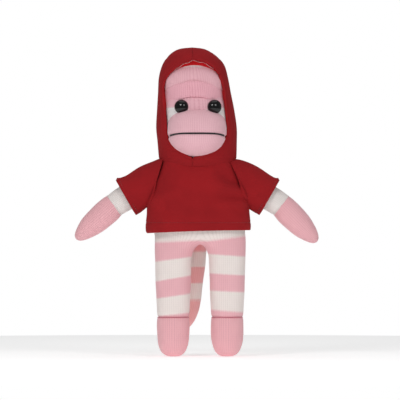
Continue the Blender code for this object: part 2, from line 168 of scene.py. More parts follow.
@dataclass(frozen=True)
class Knit:
    """Acrylic stocking-stitch knit, machine knitted: soft, matt, with fine upright wales and a pale fuzz."""

    name: str
    colour: str
    # groove and second_groove are the darker tones between the wales: painted shade in the grooves.
    groove: str
    second: str = ""
    second_groove: str = ""
    rib: float = 0.55
    fuzz: float = 0.35
    ragged: float = 0.07
    depth: float = 0.5 * MM

    def tones(self, tree: Tree) -> list[object]:
        """The colour on the wales and the painted shade between them, by stripe where there are two."""
        if not self.second:
            return [linear(self.colour), linear(self.groove)]
        stripe = add(tree, "Attribute", output="Fac", attribute_name=BAND)
        spot = add(tree, "UVMap", uv_map=PATTERN)
        rough = add(tree, "TexNoise", {"Vector": spot, "Scale": 1.1, "Detail": 1.0})
        centred = add(tree, "Math", [rough, 0.5], operation="SUBTRACT")
        sway = add(tree, "Math", [centred, self.ragged], operation="MULTIPLY")
        place = add(tree, "Math", [stripe, sway], operation="ADD")
        shifted = add(tree, "Math", [place, 1.5], operation="ADD")
        other = add(tree, "Math", [shifted, 1.0], operation="PINGPONG")
        edge = add(tree, "MapRange", [other, 0.44, 0.56])
        pairs = ((self.colour, self.second), (self.groove, self.second_groove))
        return [
            add(tree, "Mix", {0: edge, 6: linear(one), 7: linear(two)}, output=2, data_type="RGBA")
            for one, two in pairs
        ]

    def height(self, tree: Tree, spot: Socket) -> Socket:
        """The knit's height: round wales, slanting loops along them and fine fibres."""
        across, up = [add(tree, "SeparateXYZ", [spot], output=axis) for axis in "XY"]
        turn = add(tree, "Math", [across, math.pi], operation="MULTIPLY")
        wave = add(tree, "Math", [turn], operation="SINE")
        wale = add(tree, "Math", [wave], operation="ABSOLUTE")
        full = add(tree, "Math", [wale, 0.6], operation="POWER")
        lean = add(tree, "Math", [across, 0.5], operation="PINGPONG")
        rise = add(tree, "Math", [up, lean], operation="ADD")
        phase = add(tree, "Math", [rise, math.tau], operation="MULTIPLY")
        loop = add(tree, "Math", [phase], operation="SINE")
        loops = add(tree, "Math", [loop, 0.16], operation="MULTIPLY")
        knit = add(tree, "Math", [full, loops], operation="ADD")
        noisy = add(tree, "TexNoise", {"Vector": spot, "Scale": 3.0, "Detail": 3.0})
        fibres = add(tree, "Math", [noisy, 0.35], operation="MULTIPLY")
        return add(tree, "Math", [knit, fibres], operation="ADD")

    def material(self) -> bpy.types.Material:
        """Builds the material from the wale and course counts in the piece's pattern map."""
        sockets = {"Roughness": 0.92, "Sheen Weight": self.fuzz, "Sheen Roughness": 0.45, "IOR": 1.45}
        material, tree, shader = start(self.name, sockets)
        shader.inputs["Sheen Tint"].default_value = linear("FFF3F4")
        top, low = self.tones(tree)
        spot = add(tree, "UVMap", uv_map=PATTERN)
        height = self.height(tree, spot)
        wide = add(tree, "TexNoise", {"Vector": spot, "Scale": 0.16, "Detail": 2.0})
        # Painted shade: the colour falls to the darker groove tone where the knit's height is low, mixed with
        # random wide patches of tone.
        ridge = add(tree, "Math", [height, 0.62, -0.15], operation="MULTIPLY_ADD")
        light = add(tree, "Math", [wide, 0.4, ridge], operation="MULTIPLY_ADD")
        share = add(tree, "MapRange", [light, 0.0, 0.75])
        colour = add(tree, "Mix", {0: share, 6: low, 7: top}, output=2, data_type="RGBA")
        tree.links.new(colour, shader.inputs["Base Color"])
        bump = add(tree, "Bump", {"Strength": self.rib, "Distance": self.depth, "Height": height})
        tree.links.new(bump, shader.inputs["Normal"])
        return material


@dataclass(frozen=True)
class Jersey:
    """Polyester fleece jersey, cut and sewn: even, matt and slightly brushed, with a faint lighter nap."""

    name: str
    colour: str
    shadow: str
    nap: str
    depth: float = 0.4 * MM

    def material(self) -> bpy.types.Material:
        """Builds the material from the pattern map, whose unit is one stitch."""
        sheen = {"Sheen Weight": 0.08, "Sheen Roughness": 0.4}
        material, tree, shader = start(self.name, {"Roughness": 0.92, "Specular IOR Level": 0.25, **sheen})
        shader.inputs["Sheen Tint"].default_value = linear("E8565A")
        spot = add(tree, "UVMap", uv_map=PATTERN)
        wide = add(tree, "TexNoise", {"Vector": spot, "Scale": 0.05, "Detail": 2.0, "Roughness": 0.5})
        pile = add(tree, "TexNoise", {"Vector": spot, "Scale": 1.4, "Detail": 4.0, "Roughness": 0.7})
        patch = add(tree, "MapRange", [wide, 0.3, 0.62])
        tone = {0: patch, 6: linear(self.shadow), 7: linear(self.colour)}
        low = add(tree, "Mix", tone, output=2, data_type="RGBA")
        brushed = add(tree, "MapRange", {0: pile, 1: 0.5, 2: 0.85, 4: 0.42})
        colour = add(tree, "Mix", {0: brushed, 6: low, 7: linear(self.nap)}, output=2, data_type="RGBA")
        tree.links.new(colour, shader.inputs["Base Color"])
        across = add(tree, "SeparateXYZ", [spot], output="X")
        turn = add(tree, "Math", [across, math.tau], operation="MULTIPLY")
        wave = add(tree, "Math", [turn], operation="SINE")
        wale = add(tree, "Math", [wave, 0.06], operation="MULTIPLY")
        height = add(tree, "Math", [pile, wale], operation="ADD")
        bump = add(tree, "Bump", {"Strength": 0.35, "Distance": self.depth, "Height": height})
        tree.links.new(bump, shader.inputs["Normal"])
        return material


@dataclass(frozen=True)
class Thread:
    """Spun yarn or sewing thread: two plies wound together, which shows as slanting ridges."""

    name: str
    colour: str
    # The dark colour is painted shade in the hollows between the plies.
    dark: str
    plies: float = 900.0
    depth: float = 0.2 * MM

    def material(self) -> bpy.types.Material:
        """Builds the material on Object coordinates, slanting bands wound round the thread."""
        material, tree, shader = start(self.name, {"Roughness": 0.8, "Sheen Weight": 0.2})
        spot = add(tree, "TexCoord", output="Object")
        turned = add(tree, "Mapping", {"Vector": spot, "Rotation": (0.6, 0.5, 0.7)})
        wound = {"Vector": turned, "Scale": self.plies / 4, "Distortion": 1.0}
        ply = add(tree, "TexWave", wound, output="Fac")
        # Painted shade: the dark tone lies where the ply's height is low, in the hollows between the plies.
        tone = {0: ply, 6: linear(self.dark), 7: linear(self.colour)}
        colour = add(tree, "Mix", tone, output=2, data_type="RGBA")
        tree.links.new(colour, shader.inputs["Base Color"])
        bump = add(tree, "Bump", {"Strength": 0.5, "Distance": self.depth, "Height": ply})
        tree.links.new(bump, shader.inputs["Normal"])
        return material


@dataclass(frozen=True)
class Plastic:
    """Moulded plastic: polished acrylic for the eyes, plain polypropylene for the washers."""

    name: str
    colour: str
    # The lighter colour, laid in faint random spots, is painted highlight.
    bloom: str
    rough: float
    shine: float

    def material(self) -> bpy.types.Material:
        """Builds the material, with faint random spots on the moulded surface that are lighter, as painted
        highlight, and a little rougher.
        """
        sockets = {"Roughness": self.rough, "IOR": 1.49, "Specular IOR Level": self.shine}
        material, tree, shader = start(self.name, sockets)
        spot = add(tree, "TexCoord", output="Object")
        glint_and_roughness = add(tree, "TexNoise", {"Vector": spot, "Scale": 320.0, "Detail": 3.0})
        # Painted highlight: where the noise is high, the colour lightens in faint spots. The same spots are a
        # little rougher.
        spots = add(tree, "MapRange", [glint_and_roughness, 0.5, 0.8])
        tone = {0: spots, 6: linear(self.colour), 7: linear(self.bloom)}
        colour = add(tree, "Mix", tone, output=2, data_type="RGBA")
        tree.links.new(colour, shader.inputs["Base Color"])
        dull = add(tree, "MapRange", [glint_and_roughness, 0.3, 0.8, self.rough, self.rough + 0.08])
        tree.links.new(dull, shader.inputs["Roughness"])
        return material


@dataclass(frozen=True)
class Studio:
    """Matt white paper on a light table, which glows a little and so takes only faint shadows."""

    name: str = "studio paper"
    colour: str = "FAFAFA"
    pits: str = "F9F9F9"
    glow: float = 0.4

    def material(self) -> bpy.types.Material:
        """Builds the material, with the paper's faint tooth."""
        sockets = {"Roughness": 1.0, "Specular IOR Level": 0.1, "Emission Strength": self.glow}
        material, tree, shader = start(self.name, sockets)
        shader.inputs["Emission Color"].default_value = linear("FFFFFF")
        spot = add(tree, "TexCoord", output="Object")
        tooth = add(tree, "TexNoise", {"Vector": spot, "Scale": 400.0, "Detail": 2.0})
        tone = {0: tooth, 6: linear(self.pits), 7: linear(self.colour)}
        colour = add(tree, "Mix", tone, output=2, data_type="RGBA")
        tree.links.new(colour, shader.inputs["Base Color"])
        return material


Finish = Knit | Jersey | Thread | Plastic | Studio

# The second colour of each knit, and the fourth where there are four, is painted shade in the grooves between
# the wales.
PINK_KNIT = Knit("acrylic knit, pink", "F2B8BE", "DFA0AA", rib=0.45)
FACE_KNIT = Knit("acrylic knit, light pink", "F1BFC8", "E2A9B5", rib=0.35)
HEAD_KNIT = Knit("acrylic knit, light pink and white", "EFBBC5", "DFA3B0", "F0EBEA", "D6CCCE", rib=0.4)
CAP_KNIT = Knit("acrylic knit, cap", "EFB9C2", "DFA2AE", "F4EDEE", "E2D2D6", rib=0.4)
STRIPED_KNIT = Knit(
    "acrylic knit, white and pink stripes", "F3E9E4", "E4D9D4", "F0B9C0", "E2A7B0", rib=0.28
)
TAIL_KNIT = Knit("acrylic knit, coral and cream stripes", "FFC4C3", "F6ADAF", "FFF8F2", "F4E9E1", rib=0.35)
WHITE_KNIT = Knit("acrylic knit, white", "F1EAE6", "D8CDC9", rib=0.4)
BRIM_KNIT = Knit("acrylic knit, cap brim", "F2B4C0", "DE97A6", rib=0.45)
RED_JERSEY = Jersey("polyester fleece jersey, red", "9C161C", "901319", "A71E25")
LINING = Jersey("polyester fleece jersey, red wrong side", "D3161F", "C4141B", "DC2F36")
# The second colour of each thread is painted shade between its plies.
RED_THREAD = Thread("polyester thread, red", "9A1A21", "741118")
SERGED = Thread("overlocked edge thread, pinkish white", "EFC9C9", "D08A8E", 1600.0)
SEAM_THREAD = Thread("polyester thread, dark pink", "DB7F92", "C4657A", 1600.0)
BLACK_YARN = Thread("acrylic yarn, black", "1F1517", "0A0708", 1800.0)
# The second colour of each plastic is painted highlight, laid in faint spots.
GLOSS_EYE = Plastic("acrylic safety eye, black", "040405", "08080A", 0.04, 0.45)
WASHER = Plastic("polypropylene washer", "E6E4DF", "F2F0EC", 0.5, 0.5)
PAPER = Studio()


# --- making meshes ----------------------------------------------------------------------


def between(rows: Sequence[Row], share: float) -> Row:
    """A row on the smooth curve through the given rows.

    Args:
        rows: Two or more rows of the same length.
        share: From 0 at the first row to 1 at the last.

    Returns:
        The row there, on a Catmull-Rom curve.
    """
    place = min(max(share, 0.0), 1.0) * (len(rows) - 1)
    first = min(int(place), len(rows) - 2)
    t = place - first
    four = [rows[min(max(first + step, 0), len(rows) - 1)] for step in (-1, 0, 1, 2)]
    return tuple(
        0.5 * (2 * q + (r - p) * t + (2 * p - 5 * q + 4 * r - s) * t * t + (3 * q - p - 3 * r + s) * t**3)
        for p, q, r, s in zip(*four)
    )


def piecewise(table: Sequence[tuple[float, float]], at: float) -> float:
    """A value from a table of (place, value) in rising places, straight between them."""
    if at <= table[0][0]:
        return table[0][1]
    for (a, low), (b, high) in zip(table, table[1:]):
        if at <= b:
            return low + (high - low) * (at - a) / (b - a)
    return table[-1][1]


def share_at(rows: Sequence[Row], height: float) -> float:
    """How far along rising rows a height is, between 0 and 1."""
    low, high = 0.0, 1.0
    for _ in range(30):
        mid = (low + high) / 2
        low, high = (mid, high) if between(rows, mid)[0] < height else (low, mid)
    return (low + high) / 2


def oval(turn: float, square: float) -> tuple[float, float]:
    """A point on a unit oval, squarer as square grows: turn 0 is +X, a quarter is +Y."""
    c, s = math.cos(math.tau * turn), math.sin(math.tau * turn)
    return (
        math.copysign(abs(c) ** (2 / square), c),
        math.copysign(abs(s) ** (2 / square), s),
    )


def hump(distance: float, width: float) -> float:
    """1 on a line, falling smoothly to 0 about two widths away."""
    return math.exp(-((distance / width) ** 2))


@dataclass(frozen=True)
class Stack:
    """Level rings one above the other, with sides that sag.

    A row is (height, centre x, half width, half depth), then the centre's y and its fall to the back, if any.
    """

    rows: tuple[Row, ...]
    square: float = 2.3
    sag: float = 0.0

    def at(self, turn: float, share: float) -> Vector:
        """A point on the stack's surface, by its turn about the middle and its share of the way up."""
        z, x, half_x, half_y, y, fall = between([(*row, 0, 0)[:6] for row in self.rows], share)
        across, deep = oval(turn, self.square)
        height = z - fall * half_y * deep - self.sag * across * across
        return Vector((x + half_x * across, y + half_y * deep, height))


def surface(
    across: int, up: int, shape: Shape, pitch: tuple[float, float], closed: bool = True
) -> bmesh.types.BMesh:
    """Bends a grid to a shape and writes its pattern map in stitches.

    Args:
        across: Faces across the grid.
        up: Faces up the grid.
        shape: Gives the point for the shares (across, up), each from 0 to 1.
        pitch: The width of a wale and the height of a course.
        closed: Whether the grid's two sides are sewn together.

    Returns:
        The bmesh, with its doubles merged and its faces outwards.
    """
    bm = bmesh.new()
    bmesh.ops.create_grid(bm, x_segments=across, y_segments=up, size=0.5)
    pattern = bm.loops.layers.uv.new(PATTERN)
    shares = {v: (round((v.co.x + 0.5) * across), round((v.co.y + 0.5) * up)) for v in bm.verts}
    spots = {(i, j): shape(i / across, j / up) for i, j in shares.values()}
    rises, girth = [0.0], 0.0
    for j in range(up + 1):
        girth = max(girth, sum((spots[i + 1, j] - spots[i, j]).length for i in range(across)))
    for j in range(up):
        step = sum((spots[i, j + 1] - spots[i, j]).length for i in range(across + 1)) / (across + 1)
        rises.append(rises[-1] + step)
    wales = max(round(girth / pitch[0]), 1)
    for face in bm.faces:
        for loop in face.loops:
            i, j = shares[loop.vert]
            loop[pattern].uv = (i / across * wales, rises[j] / pitch[1])
    for v, place in shares.items():
        v.co = spots[place]
    bmesh.ops.remove_doubles(bm, verts=bm.verts, dist=0.00002)
    bmesh.ops.dissolve_degenerate(bm, edges=bm.edges, dist=0.000005)
    if closed:
        rims = [edge for edge in bm.edges if edge.is_boundary]
        if rims:
            bmesh.ops.holes_fill(bm, edges=rims)
    bmesh.ops.recalc_face_normals(bm, faces=bm.faces)
    return bm


def sweep(path: Sequence[Vector], radius: float, sides: int = 8) -> bmesh.types.BMesh:
    """A round cord of fabric or yarn along a path, closed at both ends.

    Args:
        path: Its points in order.
        radius: Half its thickness.
        sides: Faces round it.

    Returns:
        The bmesh.
    """
    last = len(path) - 1

    def shape(turn: float, share: float) -> Vector:
        """A point round the path, drawn to a point at its ends."""
        place = share * last
        first = min(int(place), last - 1)
        spot = path[first].lerp(path[first + 1], place - first)
        heading = (path[min(first + 1, last)] - path[max(first - 1, 0)]).normalized()
        level = heading.cross(Vector((0, 0, 1)) if abs(heading.z) < 0.9 else Vector((0, 1, 0))).normalized()
        round_end = 0.0 if share in (0.0, 1.0) else 1.0
        angle = math.tau * turn
        out = level * math.cos(angle) + heading.cross(level) * math.sin(angle)
        return spot + out * radius * round_end

    return surface(sides, last, shape, (radius, radius))


def make(name: str, bm: bmesh.types.BMesh, finish: Finish, smooth: bool = True) -> bpy.types.Object:
    """Turns a bmesh in midline coordinates to an object at the origin, dressed in a finish.

    Args:
        name: The piece's name.
        bm: Its mesh, which is freed.
        finish: What it is made of.
        smooth: Whether it is shaded smooth.

    Returns:
        The object.
    """
    bm.transform(Matrix.Translation(MIDLINE))
    mesh = bpy.data.meshes.new(name)
    bm.to_mesh(mesh)
    bm.free()
    mesh.polygons.foreach_set("use_smooth", [smooth] * len(mesh.polygons))
    obj = bpy.data.objects.new(name, mesh)
    bpy.context.scene.collection.objects.link(obj)
    dress(obj, finish)
    log.info("piece %s: %d faces", name, len(mesh.polygons))
    return obj


def dress(obj: bpy.types.Object, finish: Finish) -> None:
    """Gives an object one finish, in place of what it had."""
    made = bpy.data.materials.get(finish.name) or finish.material()
    obj.data.materials.clear()
    obj.data.materials.append(made)


def final(obj: bpy.types.Object) -> bpy.types.Object:
    """Applies an object's modifiers, so that its mesh is what shows."""
    bpy.context.view_layer.update()
    shown = bpy.data.meshes.new_from_object(obj.evaluated_get(bpy.context.evaluated_depsgraph_get()))
    obj.modifiers.clear()
    obj.data = shown
    return obj


def thicken(obj: bpy.types.Object, wall: float) -> bpy.types.Object:
    """Gives a sheet its wall, inwards from its outer face."""
    obj.modifiers.new("wall", "SOLIDIFY").thickness = wall
    return final(obj)


def stuff(obj: bpy.types.Object, pressure: float, most: float, held: Callable[[Vector], float]) -> None:
    """Swells a closed piece with Blender's Cloth, as its filling does, with its seams held.

    Args:
        obj: The piece, its place in its mesh.
        pressure: The cloth's pressure.
        most: The furthest that a point may move.
        held: From a point in midline coordinates, 1 where a seam holds the knit and 0 where it is free.
    """
    mesh = obj.data
    pins = obj.vertex_groups.new(name="seams")
    for v in mesh.vertices:
        pins.add([v.index], min(max(held(v.co - MIDLINE), 0.0), 1.0), "REPLACE")
    rest = [v.co.copy() for v in mesh.vertices]
    cloth = obj.modifiers.new("filling", "CLOTH")
    cloth.settings.quality = CLOTH_QUALITY
    cloth.settings.use_pressure = True
    cloth.settings.uniform_pressure_force = pressure
    cloth.settings.tension_stiffness = CLOTH_STIFFNESS
    cloth.settings.compression_stiffness = CLOTH_STIFFNESS
    cloth.settings.bending_stiffness = CLOTH_BENDING
    cloth.settings.effector_weights.gravity = 0
    cloth.settings.vertex_group_mass = pins.name
    cloth.point_cache.frame_start, cloth.point_cache.frame_end = 1, CLOTH_FRAMES
    for step in range(1, CLOTH_FRAMES + 1):
        bpy.context.scene.frame_set(step)
    swollen = obj.evaluated_get(bpy.context.evaluated_depsgraph_get()).data
    moves = [after.co - before for after, before in zip(swollen.vertices, rest)]
    for v, before, move in zip(mesh.vertices, rest, moves):
        v.co = before + move * min(1.0, most / max(move.length, 1e-9))
    obj.modifiers.remove(cloth)
    obj.vertex_groups.remove(pins)
    bpy.context.scene.frame_set(1)


def ripple(obj: bpy.types.Object, depth: float, size: float) -> None:
    """Moves a piece's points a little along their normals, as hand stuffing leaves it."""
    for v in obj.data.vertices:
        v.co += v.normal * noise.noise(v.co / size) * depth


def dashes(name: str, path: Sequence[Vector], finish: Finish) -> bpy.types.Object:
    """A line of running stitches along a path.

    Args:
        name: The piece's name.
        path: Points close together, in midline coordinates.
        finish: The thread.

    Returns:
        The object.
    """
    pitch, thick = 2.6 * MM, 0.32 * MM
    bm = bmesh.new()
    gone, due = 0.0, 0.0
    for a, b in zip(path, path[1:]):
        span = (b - a).length
        while span and due <= gone + span:
            spot = a.lerp(b, (due - gone) / span)
            turned = (b - a).to_track_quat("X", "Z").to_matrix().to_4x4()
            size = Matrix.Diagonal((pitch * 0.36, thick, thick, 1))
            place = Matrix.Translation(spot) @ turned @ size
            bmesh.ops.create_icosphere(bm, subdivisions=1, radius=1, matrix=place)
            due += pitch
        gone += span
    return make(name, bm, finish)


# --- the parts of the toy ---------------------------------------------------------------


@dataclass
class Legs:
    """Body and legs of one striped knit, cut apart below the crotch and sewn to pink feet at the ankles."""

    centre: float = 2.5 * MM
    ankle: float = 38.5 * MM
    held_above: float = 108.5 * MM
    leg_half: float = 18 * MM
    wales: int = 54
    crotch: tuple[float, float] = (0.094, 0.120)
    arch_half: float = 16 * MM
    smooth_rounds: int = 6
    arch_rounds: int = 30
    trunk: tuple[Row, ...] = (
        (0.1105, 0.0025, 0.0300, 0.0080),
        (0.1115, 0.0025, 0.0380, 0.0140),
        (0.1145, 0.0024, 0.0425, 0.0190),
        (0.1200, 0.0020, 0.0446, 0.0222),
        (0.1300, 0.0015, 0.0448, 0.0240),
        (0.1500, 0.0005, 0.0410, 0.0240),
    )
    leg: tuple[Row, ...] = (
        (0.1300, 0.0, 0.0150, 0.0120),
        (0.1200, 0.0028, 0.0206, 0.0165),
        (0.1130, 0.0034, 0.0218, 0.0172),
        (0.1092, 0.0026, 0.0210, 0.0172),
        (0.1055, 0.0012, 0.0196, 0.0172),
        (0.1010, 0.0003, 0.0186, 0.0172),
        (0.0950, 0.0, 0.0182, 0.0172),
        (0.0800, 0.0, 0.0177, 0.0169),
        (0.0640, 0.0, 0.0171, 0.0165),
        (0.0500, 0.0, 0.0165, 0.0161),
        (0.0425, 0.0, 0.0161, 0.0157),
        (0.0385, 0.0, 0.0154, 0.0150),
    )
    foot: tuple[Row, ...] = (
        (0.0387, 0.0, 0.0152, 0.0148),
        (0.0355, 0.0, 0.0159, 0.0157),
        (0.0260, 0.0, 0.0161, 0.0162),
        (0.0160, 0.0, 0.0155, 0.0158),
        (0.0090, 0.0, 0.0139, 0.0143),
        (0.0040, 0.0, 0.0113, 0.0117),
        (0.0012, 0.0, 0.0078, 0.0080),
        (0.0002, 0.0, 0.0040, 0.0042),
        (0.0000, 0.0, 0.0005, 0.0005),
    )
    # Heights of the stripes' edges from the top down, on the outer and on the inner side of each leg.
    stripes: ClassVar[dict[Side, Table]] = {
        Side.RIGHT: (
            (0.1122, 0.1140),
            (0.0936, 0.0986),
            (0.0740, 0.0800),
            (0.0570, 0.0625),
            (0.0397, 0.0434),
        ),
        Side.LEFT: (
            (0.1186, 0.1136),
            (0.0986, 0.1013),
            (0.0800, 0.0820),
            (0.0635, 0.0653),
            (0.0434, 0.0466),
        ),
    }

    def hip(self, side: Side) -> Vector:
        """The middle of a hip, in midline coordinates."""
        return JOINT[f"leg_{side.word}_swing"] - MIDLINE

    def band(self, side: Side, spot: Vector) -> float:
        """Which stripe a point is in, counted from the hem, with its share of the way through."""
        hip = self.hip(side)
        out = min(max((spot.x - hip.x) * side.value / self.leg_half, -1.0), 1.0) * 0.5 + 0.5
        edges = [outer * out + inner * (1 - out) for outer, inner in self.stripes[side]]
        edges = [0.1500, *edges, 0.0200]
        return piecewise([(-height, float(count)) for count, height in enumerate(edges)], -spot.z)

    def shell(self) -> bpy.types.Object:
        """The trunk and both legs made one closed skin."""
        blank = WHITE_KNIT
        trunk = make("trunk_blank", surface(48, 20, Stack(self.trunk).at, KNIT_GRID), blank)
        for side in Side:
            rows = tuple((row[0], self.hip(side).x - side.value * row[1], *row[2:]) for row in self.leg)
            leg = make("leg_blank", surface(40, 30, Stack(rows).at, KNIT_GRID), blank)
            union = trunk.modifiers.new("join", "BOOLEAN")
            union.operation, union.object = "UNION", leg
            final(trunk)
            bpy.data.objects.remove(leg)
        remesh = trunk.modifiers.new("knit", "REMESH")
        remesh.mode, remesh.voxel_size = "VOXEL", 1.5 * MM
        return final(trunk)

    def in_arch(self, spot: Vector) -> bool:
        """Whether a point is in the arch between the legs."""
        low, high = self.crotch
        return low < spot.z < high and abs(spot.x - self.centre) < self.arch_half

    def held(self, spot: Vector) -> float:
        """Where the stocking's seams hold it: at the ankle and above the crotch."""
        return max(hump(spot.z - self.ankle, 3 * MM), 1.0 if spot.z > self.held_above else 0.0)

    def stocking(self, side: Side, shell: bpy.types.Object) -> bpy.types.Object:
        """One half of the shell, with its stripes, swollen by its filling."""
        bm = bmesh.new()
        bm.from_mesh(shell.data)
        bmesh.ops.translate(bm, verts=bm.verts, vec=-MIDLINE)
        for place, away in (
            (Vector((self.centre, 0, 0)), Vector((side.value, 0, 0))),
            (Vector((0, 0, self.ankle)), Vector((0, 0, 1))),
        ):
            everything = [*bm.verts, *bm.edges, *bm.faces]
            bmesh.ops.bisect_plane(bm, geom=everything, plane_co=place, plane_no=away, clear_inner=True)
        axes = {"use_axis_x": True, "use_axis_y": True, "use_axis_z": True}
        for step in range(self.smooth_rounds + self.arch_rounds):
            soft = [v for v in bm.verts if not v.is_boundary]
            if step >= self.smooth_rounds:
                soft = [v for v in soft if self.in_arch(v.co)]
            bmesh.ops.smooth_vert(bm, verts=soft, factor=0.5, **axes)
        pattern = bm.loops.layers.uv.new(PATTERN)
        hip = self.hip(side)
        for face in bm.faces:
            turns = [self.turn(loop.vert.co, hip) for loop in face.loops]
            for loop, turn in zip(face.loops, turns):
                turn += 1.0 if max(turns) - turn > 0.5 else 0.0
                loop[pattern].uv = (turn * self.wales, loop.vert.co.z / COURSE)
        obj = make(f"stocking_{side.word}", bm, STRIPED_KNIT)
        stuff(obj, 2.5, 0.9 * MM, self.held)
        ripple(obj, 0.35 * MM, 14 * MM)
        self.mark(obj, lambda p: self.band(side, p))
        return obj

    @staticmethod
    def turn(spot: Vector, hip: Vector) -> float:
        """A point's turn round the leg, from the back, where the join of the pattern is."""
        return (math.atan2(spot.x - hip.x, -(spot.y - hip.y)) / math.tau) % 1.0

    @staticmethod
    def mark(obj: bpy.types.Object, band: Callable[[Vector], float]) -> None:
        """Writes each point's stripe count on a piece."""
        data = obj.data.attributes.new(BAND, "FLOAT", "POINT")
        data.data.foreach_set("value", [band(v.co - MIDLINE) for v in obj.data.vertices])

    def sole(self, side: Side) -> bpy.types.Object:
        """One pink foot, closed at the toe."""
        hip = self.hip(side)
        stack = Stack(tuple((row[0], hip.x, *row[2:]) for row in self.foot))
        obj = make(f"foot_{side.word}", surface(56, 36, stack.at, KNIT_GRID), PINK_KNIT)
        stuff(obj, 2.5, 0.7 * MM, lambda p: max(hump(p.z - self.ankle, 3 * MM), hump(p.z, 4 * MM)))
        ripple(obj, 0.3 * MM, 12 * MM)
        for v in obj.data.vertices:
            v.co.z = max(v.co.z, 0.0)
        return obj

    def seam(self, side: Side) -> bpy.types.Object:
        """The dark pink seam drawn tight round an ankle."""
        hip = self.hip(side)
        ring = Stack(((self.ankle, hip.x, 0.0155, 0.0151), (self.ankle, hip.x, 0.0155, 0.0151)))
        path = [ring.at(step / 48, 0.0) for step in range(49)]
        return make(f"ankle_seam_{side.word}", sweep(path, 0.28 * MM), SEAM_THREAD)

    def build(self) -> None:
        """Builds the trunk, legs, feet and ankle seams."""
        shell = self.shell()
        for side in Side:
            hip, leg = JOINT[f"leg_{side.word}_swing"], f"leg_{side.word}"
            nodes = (f"leg_skin_{side.word}", f"leg_stuffing_{side.word}", "torso_skin", "torso_stuffing")
            stocking = self.stocking(side, shell)
            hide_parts(*nodes)
            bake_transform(stocking)
            foot = self.sole(side)
            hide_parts(f"foot_skin_{side.word}")
            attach(foot, leg)
            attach(self.seam(side), leg)
        bpy.data.objects.remove(shell)


@dataclass
class Tail:
    """The tail: a thin stuffed tube in coral and cream stripes, hanging behind the legs."""

    path: tuple[Row, ...] = (
        (0.0005, 0.0225, 0.1215, 0.0060),
        (0.0005, 0.0260, 0.1120, 0.0080),
        (0.0002, 0.0260, 0.1000, 0.0082),
        (-0.0010, 0.0260, 0.0870, 0.0082),
        (-0.0030, 0.0260, 0.0735, 0.0082),
        (-0.0044, 0.0260, 0.0600, 0.0082),
        (-0.0062, 0.0260, 0.0490, 0.0081),
        (-0.0095, 0.0260, 0.0390, 0.0077),
        (-0.0140, 0.0260, 0.0310, 0.0062),
        (-0.0178, 0.0260, 0.0265, 0.0030),
        (-0.0186, 0.0260, 0.0256, 0.0003),
    )
    edges: tuple[float, ...] = (0.1400, 0.1030, 0.0880, 0.0720, 0.0560, 0.0100)

    def at(self, turn: float, share: float) -> Vector:
        """A point on the tail's skin."""
        x, y, z, radius = between(self.path, share)
        ahead, behind = between(self.path, share + 0.02), between(self.path, share - 0.02)
        heading = (Vector(ahead[:3]) - Vector(behind[:3])).normalized()
        level = Vector((0, 1, 0)).cross(heading).normalized()
        c, s = math.cos(math.tau * turn), math.sin(math.tau * turn)
        return Vector((x, y, z)) + (level * s - Vector((0, 1, 0)) * c) * radius

    def build(self) -> None:
        """Builds the tail."""
        obj = make("tail", surface(32, 72, self.at, KNIT_GRID), TAIL_KNIT)
        stuff(obj, 2.0, 0.4 * MM, lambda p: 1.0 if p.z > 0.112 else 0.0)
        ripple(obj, 0.3 * MM, 9 * MM)
        table = [(-height, float(count)) for count, height in enumerate(self.edges)]
        Legs.mark(obj, lambda p: piecewise(table, -p.z))
        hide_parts("tail_skin", "tail_stuffing")
        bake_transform(obj)


@dataclass(frozen=True)
class Fold:
    """A soft fold in cloth, from one point to another of the (x, z) plane: high where lift is above 0."""

    a: tuple[float, float]
    b: tuple[float, float]
    width: float
    lift: float

    def at(self, x: float, z: float) -> float:
        """How far the fold lifts the cloth at a point, fading towards its ends."""
        a, b = Vector(self.a), Vector(self.b)
        along = (Vector((x, z)) - a).dot(b - a) / (b - a).length_squared
        held = min(max(along, 0.0), 1.0)
        off = (Vector((x, z)) - a.lerp(b, held)).length
        return self.lift * hump(off, self.width) * (0.25 + 0.75 * math.sin(math.pi * held))


